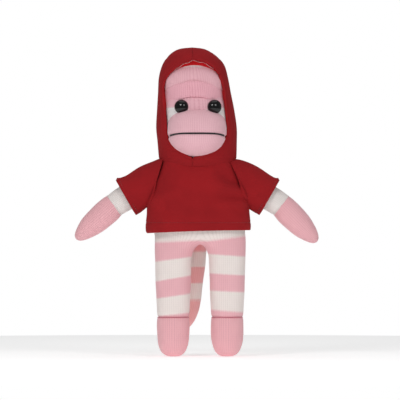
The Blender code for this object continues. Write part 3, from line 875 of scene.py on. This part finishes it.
@dataclass
class Pullover:
    """The pullover's body: front and back panels, side seams, a turned hem and a neck band."""

    wall: float = 1.4 * MM
    hem: float = 9.0 * MM
    body: tuple[Row, ...] = (
        (0.1230, 0.0005, 0.0506, 0.0278),
        (0.1245, 0.0005, 0.0518, 0.0284),
        (0.1300, 0.0005, 0.0520, 0.0287),
        (0.1400, 0.0005, 0.0510, 0.0290),
        (0.1550, 0.0000, 0.0500, 0.0290),
        (0.1700, 0.0000, 0.0470, 0.0286),
        (0.1820, 0.0000, 0.0415, 0.0281),
        (0.1900, -0.0003, 0.0370, 0.0276),
        (0.1965, -0.0006, 0.0338, 0.0268),
        (0.2000, -0.0008, 0.0310, 0.0250),
    )
    band: tuple[Row, ...] = (
        (0.1975, -0.0008, 0.0318, 0.0258),
        (0.1996, -0.0008, 0.0300, 0.0242),
        (0.2000, -0.0006, 0.0270, 0.0222),
        (0.1990, -0.0003, 0.0238, 0.0205),
        (0.1972, 0.0000, 0.0212, 0.0192),
    )
    folds: tuple[Fold, ...] = (
        Fold((0.049, 0.160), (0.010, 0.174), 0.0044, 0.0028),
        Fold((0.050, 0.152), (0.016, 0.151), 0.0042, 0.0027),
        Fold((0.048, 0.166), (0.018, 0.185), 0.0042, -0.0020),
        Fold((0.049, 0.1555), (0.014, 0.162), 0.0030, -0.0016),
        Fold((-0.048, 0.154), (-0.012, 0.168), 0.0052, 0.0024),
        Fold((-0.047, 0.147), (-0.018, 0.139), 0.0046, -0.0014),
        Fold((-0.022, 0.1895), (0.022, 0.1885), 0.0028, -0.0014),
        Fold((0.028, 0.147), (0.046, 0.130), 0.0046, 0.0017),
        Fold((-0.036, 0.149), (-0.028, 0.128), 0.0052, 0.0014),
        Fold((0.002, 0.152), (0.010, 0.128), 0.0070, 0.0013),
    )

    def at(self, turn: float, share: float) -> Vector:
        """A point on the pullover's outer face."""
        stack = Stack(self.body, 2.5)
        spot = stack.at(turn, share)
        middle = Vector((0.0005, 0.0, spot.z))
        out = (spot - middle).normalized()
        low = max(0.0, 1 - share * 4)
        lift = sum(fold.at(spot.x, spot.z) for fold in self.folds) if spot.y < 0 else 0.0
        lift += low * 0.0012 * math.sin(math.tau * (3 * turn + 0.2)) * abs(out.y)
        groove = hump(spot.z - self.body[0][0] - self.hem, 0.7 * MM) * 0.5 * MM
        spot += out * (lift - groove)
        spot.z += low * (0.0015 * spot.x / 0.05 + 0.0008 * (1 - (spot.x / 0.05) ** 2))
        return spot

    def panel(self, name: str, first: float) -> bpy.types.Object:
        """Half the pullover, from one side seam to the other.

        Args:
            name: The piece's name.
            first: The turn of its first side seam: 0 for the back, a half for the front.

        Returns:
            The panel with its wall.
        """

        def shape(across: float, share: float) -> Vector:
            """The half's point, tucked a little at its side seams."""
            spot = self.at(first + across / 2, share)
            tuck = hump(min(across, 1 - across), 0.012) * 0.9 * MM
            spot.x -= math.copysign(tuck, spot.x)
            return spot

        bm = surface(96, 64, shape, JERSEY_GRID, closed=False)
        obj = make(name, bm, RED_JERSEY)
        self.outwards(obj, Vector((0, 0, 0.16)))
        return thicken(obj, self.wall)

    @staticmethod
    def outwards(obj: bpy.types.Object, middle: Vector) -> None:
        """Turns an open sheet's faces away from a middle point, in midline coordinates."""
        mesh = obj.data
        away = sum(p.area * p.normal.dot(p.center - MIDLINE - middle) for p in mesh.polygons)
        if away < 0:
            mesh.flip_normals()

    def neck_band(self) -> bpy.types.Object:
        """The band inside the hood, which rolls in from the top of the panels to the neck."""
        bm = surface(72, 8, Stack(self.band, 2.3).at, JERSEY_GRID, closed=False)
        obj = make("neck_band", bm, RED_JERSEY)
        self.outwards(obj, Vector((0, 0, 0.17)))
        return thicken(obj, self.wall)

    def build(self) -> None:
        """Builds the panels, the hem's stitches and the neck band."""
        for name, first in (("pullover_back", 0.0), ("pullover_front", 0.5)):
            obj = self.panel(name, first)
            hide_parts(f"hoodie_{name.split('_')[1]}_panel")
            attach(obj, "torso")
        top = share_at(self.body, self.body[0][0] + self.hem)
        path = [self.at(step / 240, top) for step in range(241)]
        proud = [spot + Vector((spot.x, spot.y, 0)).normalized() * 0.1 * MM for spot in path]
        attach(dashes("hem_stitches", proud, RED_THREAD), "torso")
        band = self.neck_band()
        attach(band, "torso")


@dataclass
class Arm:
    """One arm: a white knit upper arm, a pink mitten hand and a short raglan sleeve with a turned cuff."""

    side: Side
    root_top: tuple[float, float]
    root_low: tuple[float, float]
    puff: float
    hand_drop: float
    sleeve_drop: float = math.radians(30)
    sleeve_long: float = 31 * MM
    cuff_half: float = 20.0 * MM
    square: float = 2.1
    root_square: float = 1.3
    cuff_share: float = 0.86
    cloth_long: float = 44 * MM
    # Raised places along the sleeve's top: height, place as a share of its length, and width.
    crests: tuple[Row, ...] = ((1.5 * MM, 0.88, 0.05), (1.3 * MM, 0.40, 0.2))
    wrist: tuple[float, float] = (0.0824, 0.149)
    hand_long: float = 50 * MM

    def shoulder(self) -> Vector:
        """The middle of the shoulder, in midline coordinates."""
        return JOINT[f"arm_{self.side.word}_raise"] - MIDLINE

    def ring(
        self, turn: float, x: float, z: float, up: float, height: float, depth: float, square: float = 2.1
    ) -> Vector:
        """A point on a ring across the arm.

        Args:
            turn: The turn round the ring, from the lower back.
            x: The ring's middle, away from the midline.
            z: The middle's height.
            up: The ring's lean from upright, outwards, in radians.
            height: Half its height.
            depth: Half its depth.
            square: How square the oval is.

        Returns:
            The point, mirrored on the right side.
        """
        along, deep = oval(turn - 0.25, square)
        spot = Vector((x + math.sin(up) * height * along, depth * deep, z + math.cos(up) * height * along))
        spot.x *= self.side.value
        return spot

    def sleeve_rows(self) -> list[Row]:
        """The sleeve's rings from the raglan seam to the cuff: x, z, lean, half height, half depth."""
        shoulder, drop = self.shoulder(), self.sleeve_drop
        (top_x, top_z), (low_x, low_z) = self.root_top, self.root_low
        root = (
            (top_x + low_x) / 2,
            (top_z + low_z) / 2,
            math.atan2(top_x - low_x, top_z - low_z),
            math.hypot(top_x - low_x, top_z - low_z) / 2,
            0.0200,
        )
        rows = [root]
        for distance, lean, height, depth in (
            (-0.0010, 0.12, self.puff + 0.8 * MM, 0.0186),
            (0.0080, 0.75, self.puff, 0.0180),
            (0.0180, 1.0, self.puff, 0.0174),
            (self.sleeve_long - 0.0050, 1.0, self.cuff_half, 0.0171),
            (self.sleeve_long, 1.0, self.cuff_half, 0.0168),
        ):
            x = abs(shoulder.x) + math.cos(drop) * distance
            rows.append((x, shoulder.z - math.sin(drop) * distance, drop * lean, height, depth))
        return rows

    def sleeve(self) -> bpy.types.Object:
        """The sleeve, turned in at the cuff."""
        rows = self.sleeve_rows()

        def shape(turn: float, share: float) -> Vector:
            """A point on the sleeve, with a soft fold down its front."""
            x, z, up, height, depth = between(rows, share)
            groove = hump((share - self.cuff_share) * self.cloth_long, 0.8 * MM) * 0.5 * MM
            top = max(0.0, math.sin(math.tau * turn))
            crest = sum(high * hump(share - place, wide) for high, place, wide in self.crests) * top**3
            sway = 0.7 * MM * math.sin(math.tau * (2 * turn + 0.15)) * math.sin(math.pi * share)
            sway += 0.6 * MM * math.sin(math.tau * (3 * turn + 0.4 + share)) * share
            square = self.square + self.root_square * (1 - min(share * 2.2, 1.0))
            tall, deep = height - groove + crest + sway * 0.4, depth - groove + sway
            return self.ring(turn, x, z, up, tall, deep, square)

        bm = surface(72, 40, shape, JERSEY_GRID, closed=False)
        obj = make(f"sleeve_cloth_{self.side.word}", bm, RED_JERSEY)
        Pullover.outwards(obj, self.shoulder())
        return thicken(obj, 1.2 * MM)

    def stitches(self) -> bpy.types.Object:
        """The stitches round the cuff."""
        x, z, up, height, depth = between(self.sleeve_rows(), self.cuff_share)
        height, depth = height - 0.3 * MM, depth - 0.3 * MM
        path = [self.ring(step / 120, x, z, up, height, depth) for step in range(121)]
        return dashes(f"cuff_stitches_{self.side.word}", path, RED_THREAD)

    def raglan(self) -> bpy.types.Object:
        """The raglan seam's ridge, down the front and up the back."""
        x, z, up, height, depth = self.sleeve_rows()[0]
        square = self.square + self.root_square
        path = [self.ring(step / 96, x, z, up, height, depth, square) for step in range(97)]
        return make(f"raglan_seam_{self.side.word}", sweep(path, 0.5 * MM), RED_JERSEY)

    def upper(self) -> bpy.types.Object:
        """The white upper arm, from inside the sleeve to the wrist seam."""
        shoulder, drop = self.shoulder(), self.sleeve_drop
        wrist_lean = (drop + self.hand_drop) / 2
        rows = []
        for distance, height, depth in (
            (-0.0100, 0.0030, 0.0030),
            (-0.0085, 0.0110, 0.0100),
            (0.0, 0.0155, 0.0138),
            (0.0150, 0.0138, 0.0130),
            (0.0280, 0.0126, 0.0122),
        ):
            x = abs(shoulder.x) + math.cos(drop) * distance
            rows.append((x, shoulder.z - math.sin(drop) * distance, drop, height, depth))
        rows += [
            (self.wrist[0] - 0.0060, self.wrist[1] + 0.0040, drop * 1.1, 0.0123, 0.0120),
            (self.wrist[0], self.wrist[1], wrist_lean, 0.0117, 0.0114),
        ]

        def shape(turn: float, share: float) -> Vector:
            """A point on the upper arm."""
            return self.ring(turn, *between(rows, share))

        obj = make(f"upper_arm_{self.side.word}", surface(44, 40, shape, KNIT_GRID), WHITE_KNIT)
        ripple(obj, 0.3 * MM, 10 * MM)
        return obj

    def held(self, spot: Vector) -> float:
        """Where the wrist's seam holds the mitten."""
        away = (Vector((abs(spot.x), spot.z)) - Vector(self.wrist)).length
        return hump(away - 5 * MM, 6 * MM)

    def hand(self) -> bpy.types.Object:
        """The pink mitten, tapering to a flat seam at its tip."""
        (x0, z0), drop = self.wrist, self.hand_drop
        wrist_lean = (self.sleeve_drop + drop) / 2
        rows = [(x0 - 0.0002, z0 + 0.0001, wrist_lean, 0.0117, 0.0114)]
        for share, height, depth in (
            (0.07, 0.0124, 0.0119),
            (0.22, 0.0129, 0.0122),
            (0.42, 0.0124, 0.0117),
            (0.62, 0.0111, 0.0105),
            (0.78, 0.0089, 0.0085),
            (0.90, 0.0062, 0.0058),
            (0.97, 0.0036, 0.0032),
            (1.0, 0.0006, 0.0005),
        ):
            gone = share * self.hand_long
            lean = wrist_lean + (drop - wrist_lean) * min(1.0, share * 4)
            rows.append((x0 + math.cos(drop) * gone, z0 - math.sin(drop) * gone, lean, height, depth))

        def shape(turn: float, share: float) -> Vector:
            """A point on the mitten, pinched to a ridge along the seam at its tip."""
            spot = self.ring(turn, *between(rows, share))
            pinch = hump(spot.y, 1.0 * MM) * min(max(share - 0.55, 0.0) * 2.6, 1.0) * 0.5 * MM
            return spot - Vector((0, 0, 1)) * pinch if spot.z < z0 - math.sin(drop) * 0.02 else spot

        obj = make(f"hand_{self.side.word}", surface(48, 56, shape, KNIT_GRID), PINK_KNIT)
        stuff(obj, 2.5, 0.6 * MM, self.held)
        ripple(obj, 0.3 * MM, 10 * MM)
        return obj

    def wrist_seam(self) -> bpy.types.Object:
        """The seam where the mitten is sewn to the arm."""
        lean = (self.sleeve_drop + self.hand_drop) / 2
        path = [self.ring(step / 48, *self.wrist, lean, 0.0118, 0.0115) for step in range(49)]
        return make(f"wrist_seam_{self.side.word}", sweep(path, 0.4 * MM), WHITE_KNIT)

    def build(self) -> None:
        """Builds the arm and its sleeve."""
        word, body = self.side.word, f"arm_{self.side.word}"
        upper, hand = self.upper(), self.hand()
        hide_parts(f"arm_skin_{word}", f"arm_stuffing_{word}")
        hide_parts(f"hand_skin_{word}")
        for obj in (upper, hand, self.wrist_seam(), self.stitches()):
            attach(obj, body)
        sleeve = self.sleeve()
        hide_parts(f"sleeve_{word}")
        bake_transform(sleeve)
        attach(self.raglan(), "torso")


@dataclass
class Head:
    """The stuffed head, its muzzle and mouth, eyes, ears, and the knitted cap with its turned brim."""

    head: tuple[Row, ...] = (
        (0.1950, 0.0, 0.0150, 0.0150),
        (0.1990, 0.0, 0.0195, 0.0190),
        (0.2050, 0.0, 0.0245, 0.0230),
        (0.2150, -0.0003, 0.0302, 0.0276),
        (0.2280, -0.0008, 0.0324, 0.0292),
        (0.2420, -0.0016, 0.0320, 0.0290),
        (0.2500, -0.0024, 0.0297, 0.0276, 0, 0.20),
        (0.2570, -0.0030, 0.0268, 0.0260, 0, 0.22),
    )
    crown: tuple[Row, ...] = (
        (0.2540, -0.0030, 0.0278, 0.0258, 0, 0.22),
        (0.2600, -0.0032, 0.0302, 0.0268, 0, 0.21),
        (0.2670, -0.0036, 0.0312, 0.0268, 0, 0.20),
        (0.2740, -0.0041, 0.0302, 0.0250, 0, 0.15),
        (0.2805, -0.0045, 0.0266, 0.0212, 0, 0.10),
        (0.2855, -0.0047, 0.0204, 0.0160, 0, 0.05),
        (0.2885, -0.0048, 0.0122, 0.0100, 0, 0.02),
        (0.2896, -0.0048, 0.0040, 0.0035, 0, 0.0),
        (0.2898, -0.0048, 0.0003, 0.0003, 0, 0.0),
    )
    brim: tuple[Row, ...] = (
        (0.2525, -0.0028, 0.0280, 0.0262, 0, 0.21),
        (0.2500, -0.0026, 0.0296, 0.0280, 0, 0.20),
        (0.2494, -0.0026, 0.0309, 0.0294, 0, 0.20),
        (0.2512, -0.0027, 0.0316, 0.0301, 0, 0.21),
        (0.2560, -0.0030, 0.0313, 0.0297, 0, 0.22),
        (0.2612, -0.0034, 0.0308, 0.0291, 0, 0.22),
        (0.2638, -0.0036, 0.0306, 0.0288, 0, 0.22),
        (0.2646, -0.0036, 0.0299, 0.0280, 0, 0.22),
        (0.2630, -0.0036, 0.0288, 0.0266, 0, 0.22),
    )
    muzzle: Vector = Vector((-0.0006, -0.0200, 0.2199))
    muzzle_half: Vector = Vector((0.0292, 0.0290, 0.0247))
    muzzle_slope: float = 8 * MM
    mouth_z: float = 0.2195
    mouth_droop: float = 3.4 * MM
    eye_radius: float = 7.1 * MM
    eye_turn: float = math.radians(18)
    # Heights of the edges between light pink and white, with the stripe count that they stand for.
    head_bands: Table = (
        (0.205, 0.4),
        (0.2235, 0.98),
        (0.2245, 1.02),
        (0.2405, 1.4),
        (0.2440, 1.98),
        (0.2450, 2.02),
        (0.26, 2.4),
    )
    cap_bands: Table = ((0.26, 0.3), (0.2835, 0.9), (0.2865, 1.1), (0.30, 1.5))

    def muzzle_at(self, turn: float, share: float) -> Vector:
        """A point on the muzzle, drawn in along the mouth."""
        lift = math.pi * (share - 0.5)
        width, depth = oval(turn, 2.1)
        blunt = 3.0 if lift > 0 else 1.95
        ring = max(math.cos(lift), 0.0) ** (2 / blunt)
        z = math.copysign(abs(math.sin(lift)) ** (2 / blunt), lift)
        half = self.muzzle_half
        back = self.muzzle_slope * max(z, 0.0) ** 2
        spot = self.muzzle + Vector((half.x * ring * width, half.y * ring * depth + back, half.z * z))
        line = self.mouth_line(spot.x)
        tuck = hump(spot.z - line, 1.5 * MM) * 1.5 * MM * (depth < 0)
        out = Vector((spot.x - self.muzzle.x, spot.y - self.muzzle.y, 0))
        return spot - out.normalized() * tuck if out.length > 1e-6 else spot

    def mouth_line(self, x: float) -> float:
        """The mouth's height at a distance from the midline: flat, with drooping ends."""
        far = abs(x - self.muzzle.x) / self.muzzle_half.x
        return self.mouth_z - self.mouth_droop * min(far, 1.05) ** 5

    def mouth(self) -> bpy.types.Object:
        """The black yarn, couched along the mouth."""
        path = []
        for step in range(73):
            angle = math.radians(-158 + 136 * step / 72)
            width, depth = math.cos(angle), math.sin(angle)
            x = self.muzzle.x + self.muzzle_half.x * width * 0.985
            z = self.mouth_line(x)
            rise = (z - self.muzzle.z) / self.muzzle_half.z
            ring = max(0.0, 1 - abs(rise) ** 1.95) ** (1 / 1.95)
            y = self.muzzle.y + (self.muzzle_half.y * ring - 0.95 * MM) * depth
            path.append(Vector((x, y, z)))
        return make("mouth", sweep(path, 0.85 * MM), BLACK_YARN)

    def eye(self, side: Side) -> bpy.types.Object:
        """One domed safety eye, sunk a little into the knit."""
        low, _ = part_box(f"eye_{side.word}")
        turned = Matrix.Rotation(side.value * self.eye_turn, 4, "Z")
        front = low.y - MIDLINE.y + 2.6 * MM
        bm = bmesh.new()
        bmesh.ops.create_uvsphere(bm, u_segments=40, v_segments=24, radius=1)
        squash = Matrix.Diagonal((self.eye_radius, 5.9 * MM, self.eye_radius, 1))
        place = Matrix.Translation(Vector((math.copysign(0.0162, side.value) + 0.0003, front, 0.2458)))
        bm.transform(place @ turned @ squash)
        return make(f"glass_eye_{side.word}", bm, GLOSS_EYE)

    def ear(self, side: Side) -> bpy.types.Object:
        """One small padded ear, folded against the head under the hood."""
        low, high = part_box(f"ear_{side.word}")
        middle, half = (low + high) / 2 - MIDLINE, (high - low) / 2

        def shape(turn: float, share: float) -> Vector:
            """A point on the ear, dished on its outer face."""
            lift = math.pi * (share - 0.5)
            width, depth = math.cos(math.tau * turn), math.sin(math.tau * turn)
            ring = max(math.cos(lift), 0.0) ** 0.8
            hollow = hump(math.hypot(depth * ring, math.sin(lift)), 0.5)
            dish = 0.25 * half.x * hollow * (width * side.value > 0)
            out = half.x * ring * width - side.value * dish
            return middle + Vector((out, half.y * ring * depth, half.z * math.sin(lift)))

        return make(f"padded_ear_{side.word}", surface(32, 24, shape, KNIT_GRID), PINK_KNIT)

    def head_band(self, spot: Vector) -> float:
        """The stripe count on the head, whose edges fall towards the face and rise between the eyes."""
        height = spot.z + 0.10 * (spot.y + 0.02) + 5 * MM * hump(spot.x, 13 * MM)
        return piecewise(self.head_bands, height)

    def cap_band(self, spot: Vector) -> float:
        """The stripe count on the cap, with a slightly wavy edge."""
        return piecewise(self.cap_bands, spot.z + 0.3 * MM * math.sin(spot.x * 900))

    def skull(self) -> bpy.types.Object:
        """The head's knit, with a white stripe low on each side."""
        obj = make("head", surface(72, 48, Stack(self.head, 3.0).at, KNIT_GRID), HEAD_KNIT)
        stuff(obj, 2.0, 0.5 * MM, lambda p: 1.0 if p.z < 0.20 or p.z > 0.25 else 0.0)
        Legs.mark(obj, self.head_band)
        return obj

    def cap(self) -> bpy.types.Object:
        """The cap's crown, nearly white at its top."""
        stack = Stack(self.crown, 2.6, sag=1.5 * MM)
        obj = make("cap", surface(72, 40, stack.at, KNIT_GRID), CAP_KNIT)
        ripple(obj, 0.25 * MM, 9 * MM)
        Legs.mark(obj, self.cap_band)
        return obj

    def turned_brim(self) -> bpy.types.Object:
        """The cap's brim, turned up and wavy at its edge."""
        stack = Stack(self.brim, sag=5.5 * MM)

        def shape(turn: float, share: float) -> Vector:
            """A point on the brim."""
            spot = stack.at(turn, share)
            spot.z += 0.35 * MM * math.sin(math.tau * turn * 7) + 0.2 * MM * math.sin(math.tau * turn * 17)
            return spot

        bm = surface(96, 32, shape, KNIT_GRID, closed=False)
        obj = make("cap_brim_fold", bm, BRIM_KNIT)
        Pullover.outwards(obj, Vector((0, 0, 0.258)))
        return thicken(obj, 0.5 * MM)

    def build(self) -> None:
        """Builds the head and everything sewn to it."""
        pieces = {
            self.skull(): ("light_pink_knit", ("head_skin", "head_stuffing")),
            self.cap(): ("light_pink_knit", ("cap_crown",)),
            self.turned_brim(): ("pink_knit", ("cap_brim",)),
            make("muzzle", surface(96, 72, self.muzzle_at, KNIT_GRID), FACE_KNIT): (
                "light_pink_knit",
                ("muzzle_skin", "muzzle_stuffing"),
            ),
            self.mouth(): ("dark_yarn", ("mouth_yarn",)),
        }
        for side in Side:
            pieces[self.eye(side)] = ("eye_plastic", (f"eye_{side.word}",))
            pieces[self.ear(side)] = ("pink_knit", (f"ear_{side.word}",))
            dress(frame["nodes"][f"eye_washer_{side.word}"], WASHER)
        for obj, (slot, nodes) in pieces.items():
            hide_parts(*nodes)
            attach(obj, "head")
            obj.name in ("head", "cap", "muzzle") or "ear" in obj.name


@dataclass
class Hood:
    """The pullover's hood: two panels joined over the head, with a turned rim round the face."""

    wall: float = 1.4 * MM
    rows: tuple[Row, ...] = (
        (0.1860, 0.0000, 0.0345, 0.0262, 0.0000, 0.0),
        (0.1905, 0.0000, 0.0364, 0.0290, 0.0000, 0.0),
        (0.1955, 0.0000, 0.0378, 0.0316, 0.0008, 0.0),
        (0.2120, -0.0005, 0.0388, 0.0350, 0.0020, 0.0),
        (0.2260, -0.0012, 0.0394, 0.0366, 0.0030, 0.0),
        (0.2430, -0.0020, 0.0378, 0.0371, 0.0035, 0.0),
        (0.2600, -0.0032, 0.0356, 0.0366, 0.0040, 0.0),
        (0.2750, -0.0042, 0.0338, 0.0336, 0.0045, 0.0),
        (0.2870, -0.0043, 0.0305, 0.0282, 0.0050, 0.0),
        (0.2950, -0.0050, 0.0250, 0.0220, 0.0050, 0.0),
        (0.3005, -0.0058, 0.0185, 0.0155, 0.0050, 0.0),
        (0.3038, -0.0058, 0.0110, 0.0090, 0.0050, 0.0),
        (0.3050, -0.0055, 0.0005, 0.0004, 0.0050, 0.0),
    )
    # The face opening's edge on each side: height, then x.
    right_edge: Table = (
        (0.1951, -0.0050), (0.1962, -0.0090), (0.1992, -0.0138), (0.2035, -0.0215),
        (0.2087, -0.0267), (0.2145, -0.0296), (0.2200, -0.0308), (0.2390, -0.0320),
        (0.2550, -0.0338), (0.2640, -0.0342), (0.2730, -0.0322), (0.2790, -0.0280),
        (0.2840, -0.0225), (0.2885, -0.0165), (0.2915, -0.0105), (0.2930, -0.0050),
    )
    left_edge: Table = (
        (0.1951, -0.0050), (0.1966, 0.0025), (0.1992, 0.0106), (0.2045, 0.0182),
        (0.2097, 0.0240), (0.2161, 0.0282), (0.2250, 0.0297), (0.2340, 0.0287),
        (0.2480, 0.0273), (0.2620, 0.0262), (0.2720, 0.0236), (0.2790, 0.0205),
        (0.2850, 0.0160), (0.2900, 0.0090), (0.2922, 0.0020), (0.2930, -0.0050),
    )
    levels: int = 84
    # The heights of the grid's rows, by share of the way up: closer together at the opening's two ends.
    heights: Table = (
        (0.0, 0.1860), (0.04, 0.1940), (0.06, 0.1951), (0.12, 0.1975), (0.24, 0.2090),
        (0.36, 0.2250), (0.56, 0.2640), (0.70, 0.2840), (0.76, 0.2900), (0.80, 0.2925),
        (0.83, 0.2931), (0.88, 0.2965), (0.96, 0.3030), (1.0, 0.3050),
    )
    # The share of the way up at which the opening starts, and how much of it the opening takes.
    opening: tuple[float, float] = (0.06, 0.77)
    square: float = 2.2

    def front_turn(self, row: Row, x: float) -> float:
        """The turn where a ring's front reaches a distance from the midline."""
        across = min(max((x - row[1]) / row[2], -0.999), 0.999)
        c = math.copysign(abs(across) ** (self.square / 2), across)
        return -math.acos(c) / math.tau

    def at(self, side: Side, across: float, up: float) -> Vector:
        """A point on one panel: across from the face opening's edge to the seam at the back."""
        z = piecewise(self.heights, up)
        row = between(self.rows, share_at(self.rows, z))
        open_here = self.left_edge[0][0] <= z <= self.left_edge[-1][0]
        sides = self.left_edge if side is Side.LEFT else self.right_edge
        edge = self.front_turn(row, piecewise(sides, z) if open_here else sides[-1][1])
        far = 0.25 if side is Side.LEFT else -0.75
        turn = edge + (far - edge) * across
        wide, deep = oval(turn, self.square)
        x, y = row[1] + row[2] * wide, row[4] + row[3] * deep
        spot = Vector((x, y, z))
        out = Vector((wide, deep, 0.0)).normalized()
        reach = across * abs(far - edge) * math.tau * 0.036
        rim = 0.7 * MM * (1 - hump(reach, 2.2 * MM)) - 0.5 * MM * hump(reach - 9 * MM, 1.0 * MM)
        seam = 1.0 * MM * hump((1 - across) * 0.10, 1.6 * MM)
        if not open_here and z > 0.29:
            seam += 0.4 * MM * hump(reach, 1.4 * MM)
        calm = min(1.0, row[2] / 0.012)
        return spot + out * (rim * (0.6 if open_here else 0.2) - seam * 0.5) * calm

    def panel(self, side: Side) -> bpy.types.Object:
        """One panel of the hood with its wall."""

        def shape(across: float, up: float) -> Vector:
            """A point on this side's panel."""
            return self.at(side, across, up)

        bm = surface(64, self.levels, shape, JERSEY_GRID, closed=False)
        obj = make(f"hood_{side.word}", bm, RED_JERSEY)
        Pullover.outwards(obj, Vector((0, 0, 0.245)))
        return thicken(obj, self.wall)

    def rim_path(self, inset: float) -> list[Vector]:
        """The face opening's edge, all the way round, moved in along the panels."""
        low, span = self.opening
        ups = [low + span * step / 90 for step in range(91)]
        left = [self.at(Side.LEFT, inset, up) for up in ups]
        right = [self.at(Side.RIGHT, inset, up) for up in reversed(ups)]
        return left + right

    def facing_at(self, along: float, inward: float) -> Vector:
        """A point on the hem turned in behind the rim.

        Args:
            along: The share of the way from the right cheek over the face to the left.
            inward: The share of the way in from the rim's edge.

        Returns:
            The point.
        """
        edge = [*self.right_edge[7:], *reversed(self.left_edge[8:-1])]
        x, z = between([(px, pz) for pz, px in edge], along)
        deep = 0.5 + 0.5 * math.sin(math.pi * along)
        drop = (2.0 + 7.0 * deep * inward) * MM * inward
        middle = Vector((-0.004, 0, 0.255))
        toward = (Vector((middle.x, 0, middle.z)) - Vector((x, 0, z))).normalized()
        row = between(self.rows, share_at(self.rows, z))
        turn = self.front_turn(row, x)
        y = row[4] + row[3] * oval(turn, self.square)[1]
        wave = 0.5 * MM * math.sin(along * 31) * inward
        return Vector((x, y + (1.2 + 5.0 * inward) * MM, z)) + toward * (drop + wave - 0.8 * MM)

    def facing(self) -> bpy.types.Object:
        """The turned-in hem, whose wrong side shows between the rim and the cap."""
        bm = surface(96, 10, self.facing_at, JERSEY_GRID, closed=False)
        return thicken(make("hood_facing", bm, LINING), 0.8 * MM)

    def serging(self) -> bpy.types.Object:
        """The pale overlocked edge that shows along the top of the opening."""
        path = []
        for step in range(61):
            wave = Vector((0, 1.0 * MM, 0.5 * MM * math.sin(step * 0.5)))
            path.append(self.facing_at(0.24 + 0.52 * step / 60, 0.5) - wave)
        return make("serged_edge", sweep(path, 0.34 * MM), SERGED)

    def build(self) -> None:
        """Builds the panels and what is sewn along the rim."""
        for side in Side:
            obj = self.panel(side)
            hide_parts(f"hood_{side.word}_panel")
            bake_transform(obj)
        rim = make("hood_rim", sweep(self.rim_path(0.0), 1.3 * MM), RED_JERSEY)
        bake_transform(rim)
        facing = self.facing()
        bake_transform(facing)
        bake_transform(self.serging())


@dataclass
class Stage:
    """A white paper floor, soft boxes and a long lens square to the toy's front."""

    distance: float = 5.0
    frame_width: float = 0.3944
    aim: Vector = Vector((0.0034, 0.0, 0.1543))
    sensor: float = 36.0
    ambient: float = 0.25

    def camera(self) -> None:
        """Makes the camera."""
        data = bpy.data.cameras.new("camera")
        data.sensor_width, data.lens = self.sensor, self.sensor * self.distance / self.frame_width
        data.clip_start, data.clip_end = 0.05, 50
        camera = bpy.data.objects.new("camera", data)
        camera.location = self.aim - Vector((0, self.distance, 0))
        camera.rotation_euler = (math.radians(90), 0, 0)
        bpy.context.scene.collection.objects.link(camera)
        bpy.context.scene.camera = camera

    def light(self, name: str, place: Vector, size: float, watts: float) -> None:
        """Adds one soft box, turned to the toy."""
        data = bpy.data.lights.new(name, "AREA")
        data.shape, data.size, data.energy = "DISK", size, watts
        light = bpy.data.objects.new(name, data)
        light.location = place
        light.rotation_euler = (self.aim - place).to_track_quat("-Z", "Y").to_euler()
        bpy.context.scene.collection.objects.link(light)

    def floor(self) -> None:
        """Makes the level paper floor, round and wide."""
        bm = bmesh.new()
        bmesh.ops.create_circle(bm, cap_ends=True, segments=96, radius=0.8)
        bm.transform(Matrix.Translation(-MIDLINE - Vector((0, 0, 0.05 * MM))))
        make("paper_floor", bm, PAPER)

    def air(self) -> None:
        """Makes the even light all round, which the camera sees as plain white."""
        world = bpy.data.worlds.new("studio")
        world.use_nodes = True
        tree = world.node_tree
        background = tree.nodes["Background"]
        background.inputs["Color"].default_value = linear("FFFFFF")
        seen = add(tree, "LightPath", output="Is Camera Ray")
        glow = add(tree, "Math", [seen, 1.0 - self.ambient, self.ambient], operation="MULTIPLY_ADD")
        tree.links.new(glow, background.inputs["Strength"])
        bpy.context.scene.world = world

    def build(self) -> None:
        """Builds the stage."""
        self.camera()
        self.floor()
        self.air()
        self.light("key", Vector((-0.50, -1.1, 0.85)), 0.45, 5.0)
        self.light("fill", Vector((0.60, -1.1, 0.80)), 0.45, 3.2)
        self.light("top", Vector((0.0, 0.1, 1.6)), 1.6, 5.0)
        bpy.context.scene.view_settings.view_transform = "Standard"


@dataclass
class Neck:
    """The short knit neck, which the head sits down on, and the thread that draws it in."""

    swell: float = 0.6 * MM
    # Up the neck: height and width as shares of half the filling's, and whether the knit swells there.
    profile: tuple[Row, ...] = (
        (-1.0, 0.05, 0),
        (-1.0, 0.9, 0),
        (-0.6, 1.0, 1),
        (0.0, 0.96, 1),
        (0.6, 1.0, 1),
        (1.0, 0.9, 0),
        (1.0, 0.05, 0),
    )

    def build(self) -> None:
        """Builds the neck round the CAD's filling."""
        low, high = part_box("neck_stuffing")
        middle, half = (low + high) / 2 - MIDLINE, (high - low) / 2
        rows = []
        for rise, wide, full in self.profile:
            swell = self.swell * full
            x, y = half.x * wide + swell, half.y * wide + swell
            rows.append((middle.z + half.z * rise, middle.x, x, y, middle.y))
        obj = make("neck", surface(40, 24, Stack(tuple(rows), 2.1).at, KNIT_GRID), FACE_KNIT)
        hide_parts("neck_stuffing")
        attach(obj, "neck")
        dress(frame["nodes"]["neck_gather_thread"], SEAM_THREAD)


def main() -> None:
    """Builds the stage and the toy, part by part."""
    logging.basicConfig(level=logging.INFO, format="%(name)s: %(message)s")
    Stage().build()
    Legs().build()
    Tail().build()
    Pullover().build()
    Arm(Side.LEFT, (0.031, 0.1945), (0.0500, 0.1545), 0.0198, math.radians(45)).build()
    Arm(Side.RIGHT, (0.034, 0.1960), (0.0480, 0.1490), 0.0188, math.radians(41)).build()
    Neck().build()
    Head().build()
    Hood().build()


if __name__ == "__main__":
    main()
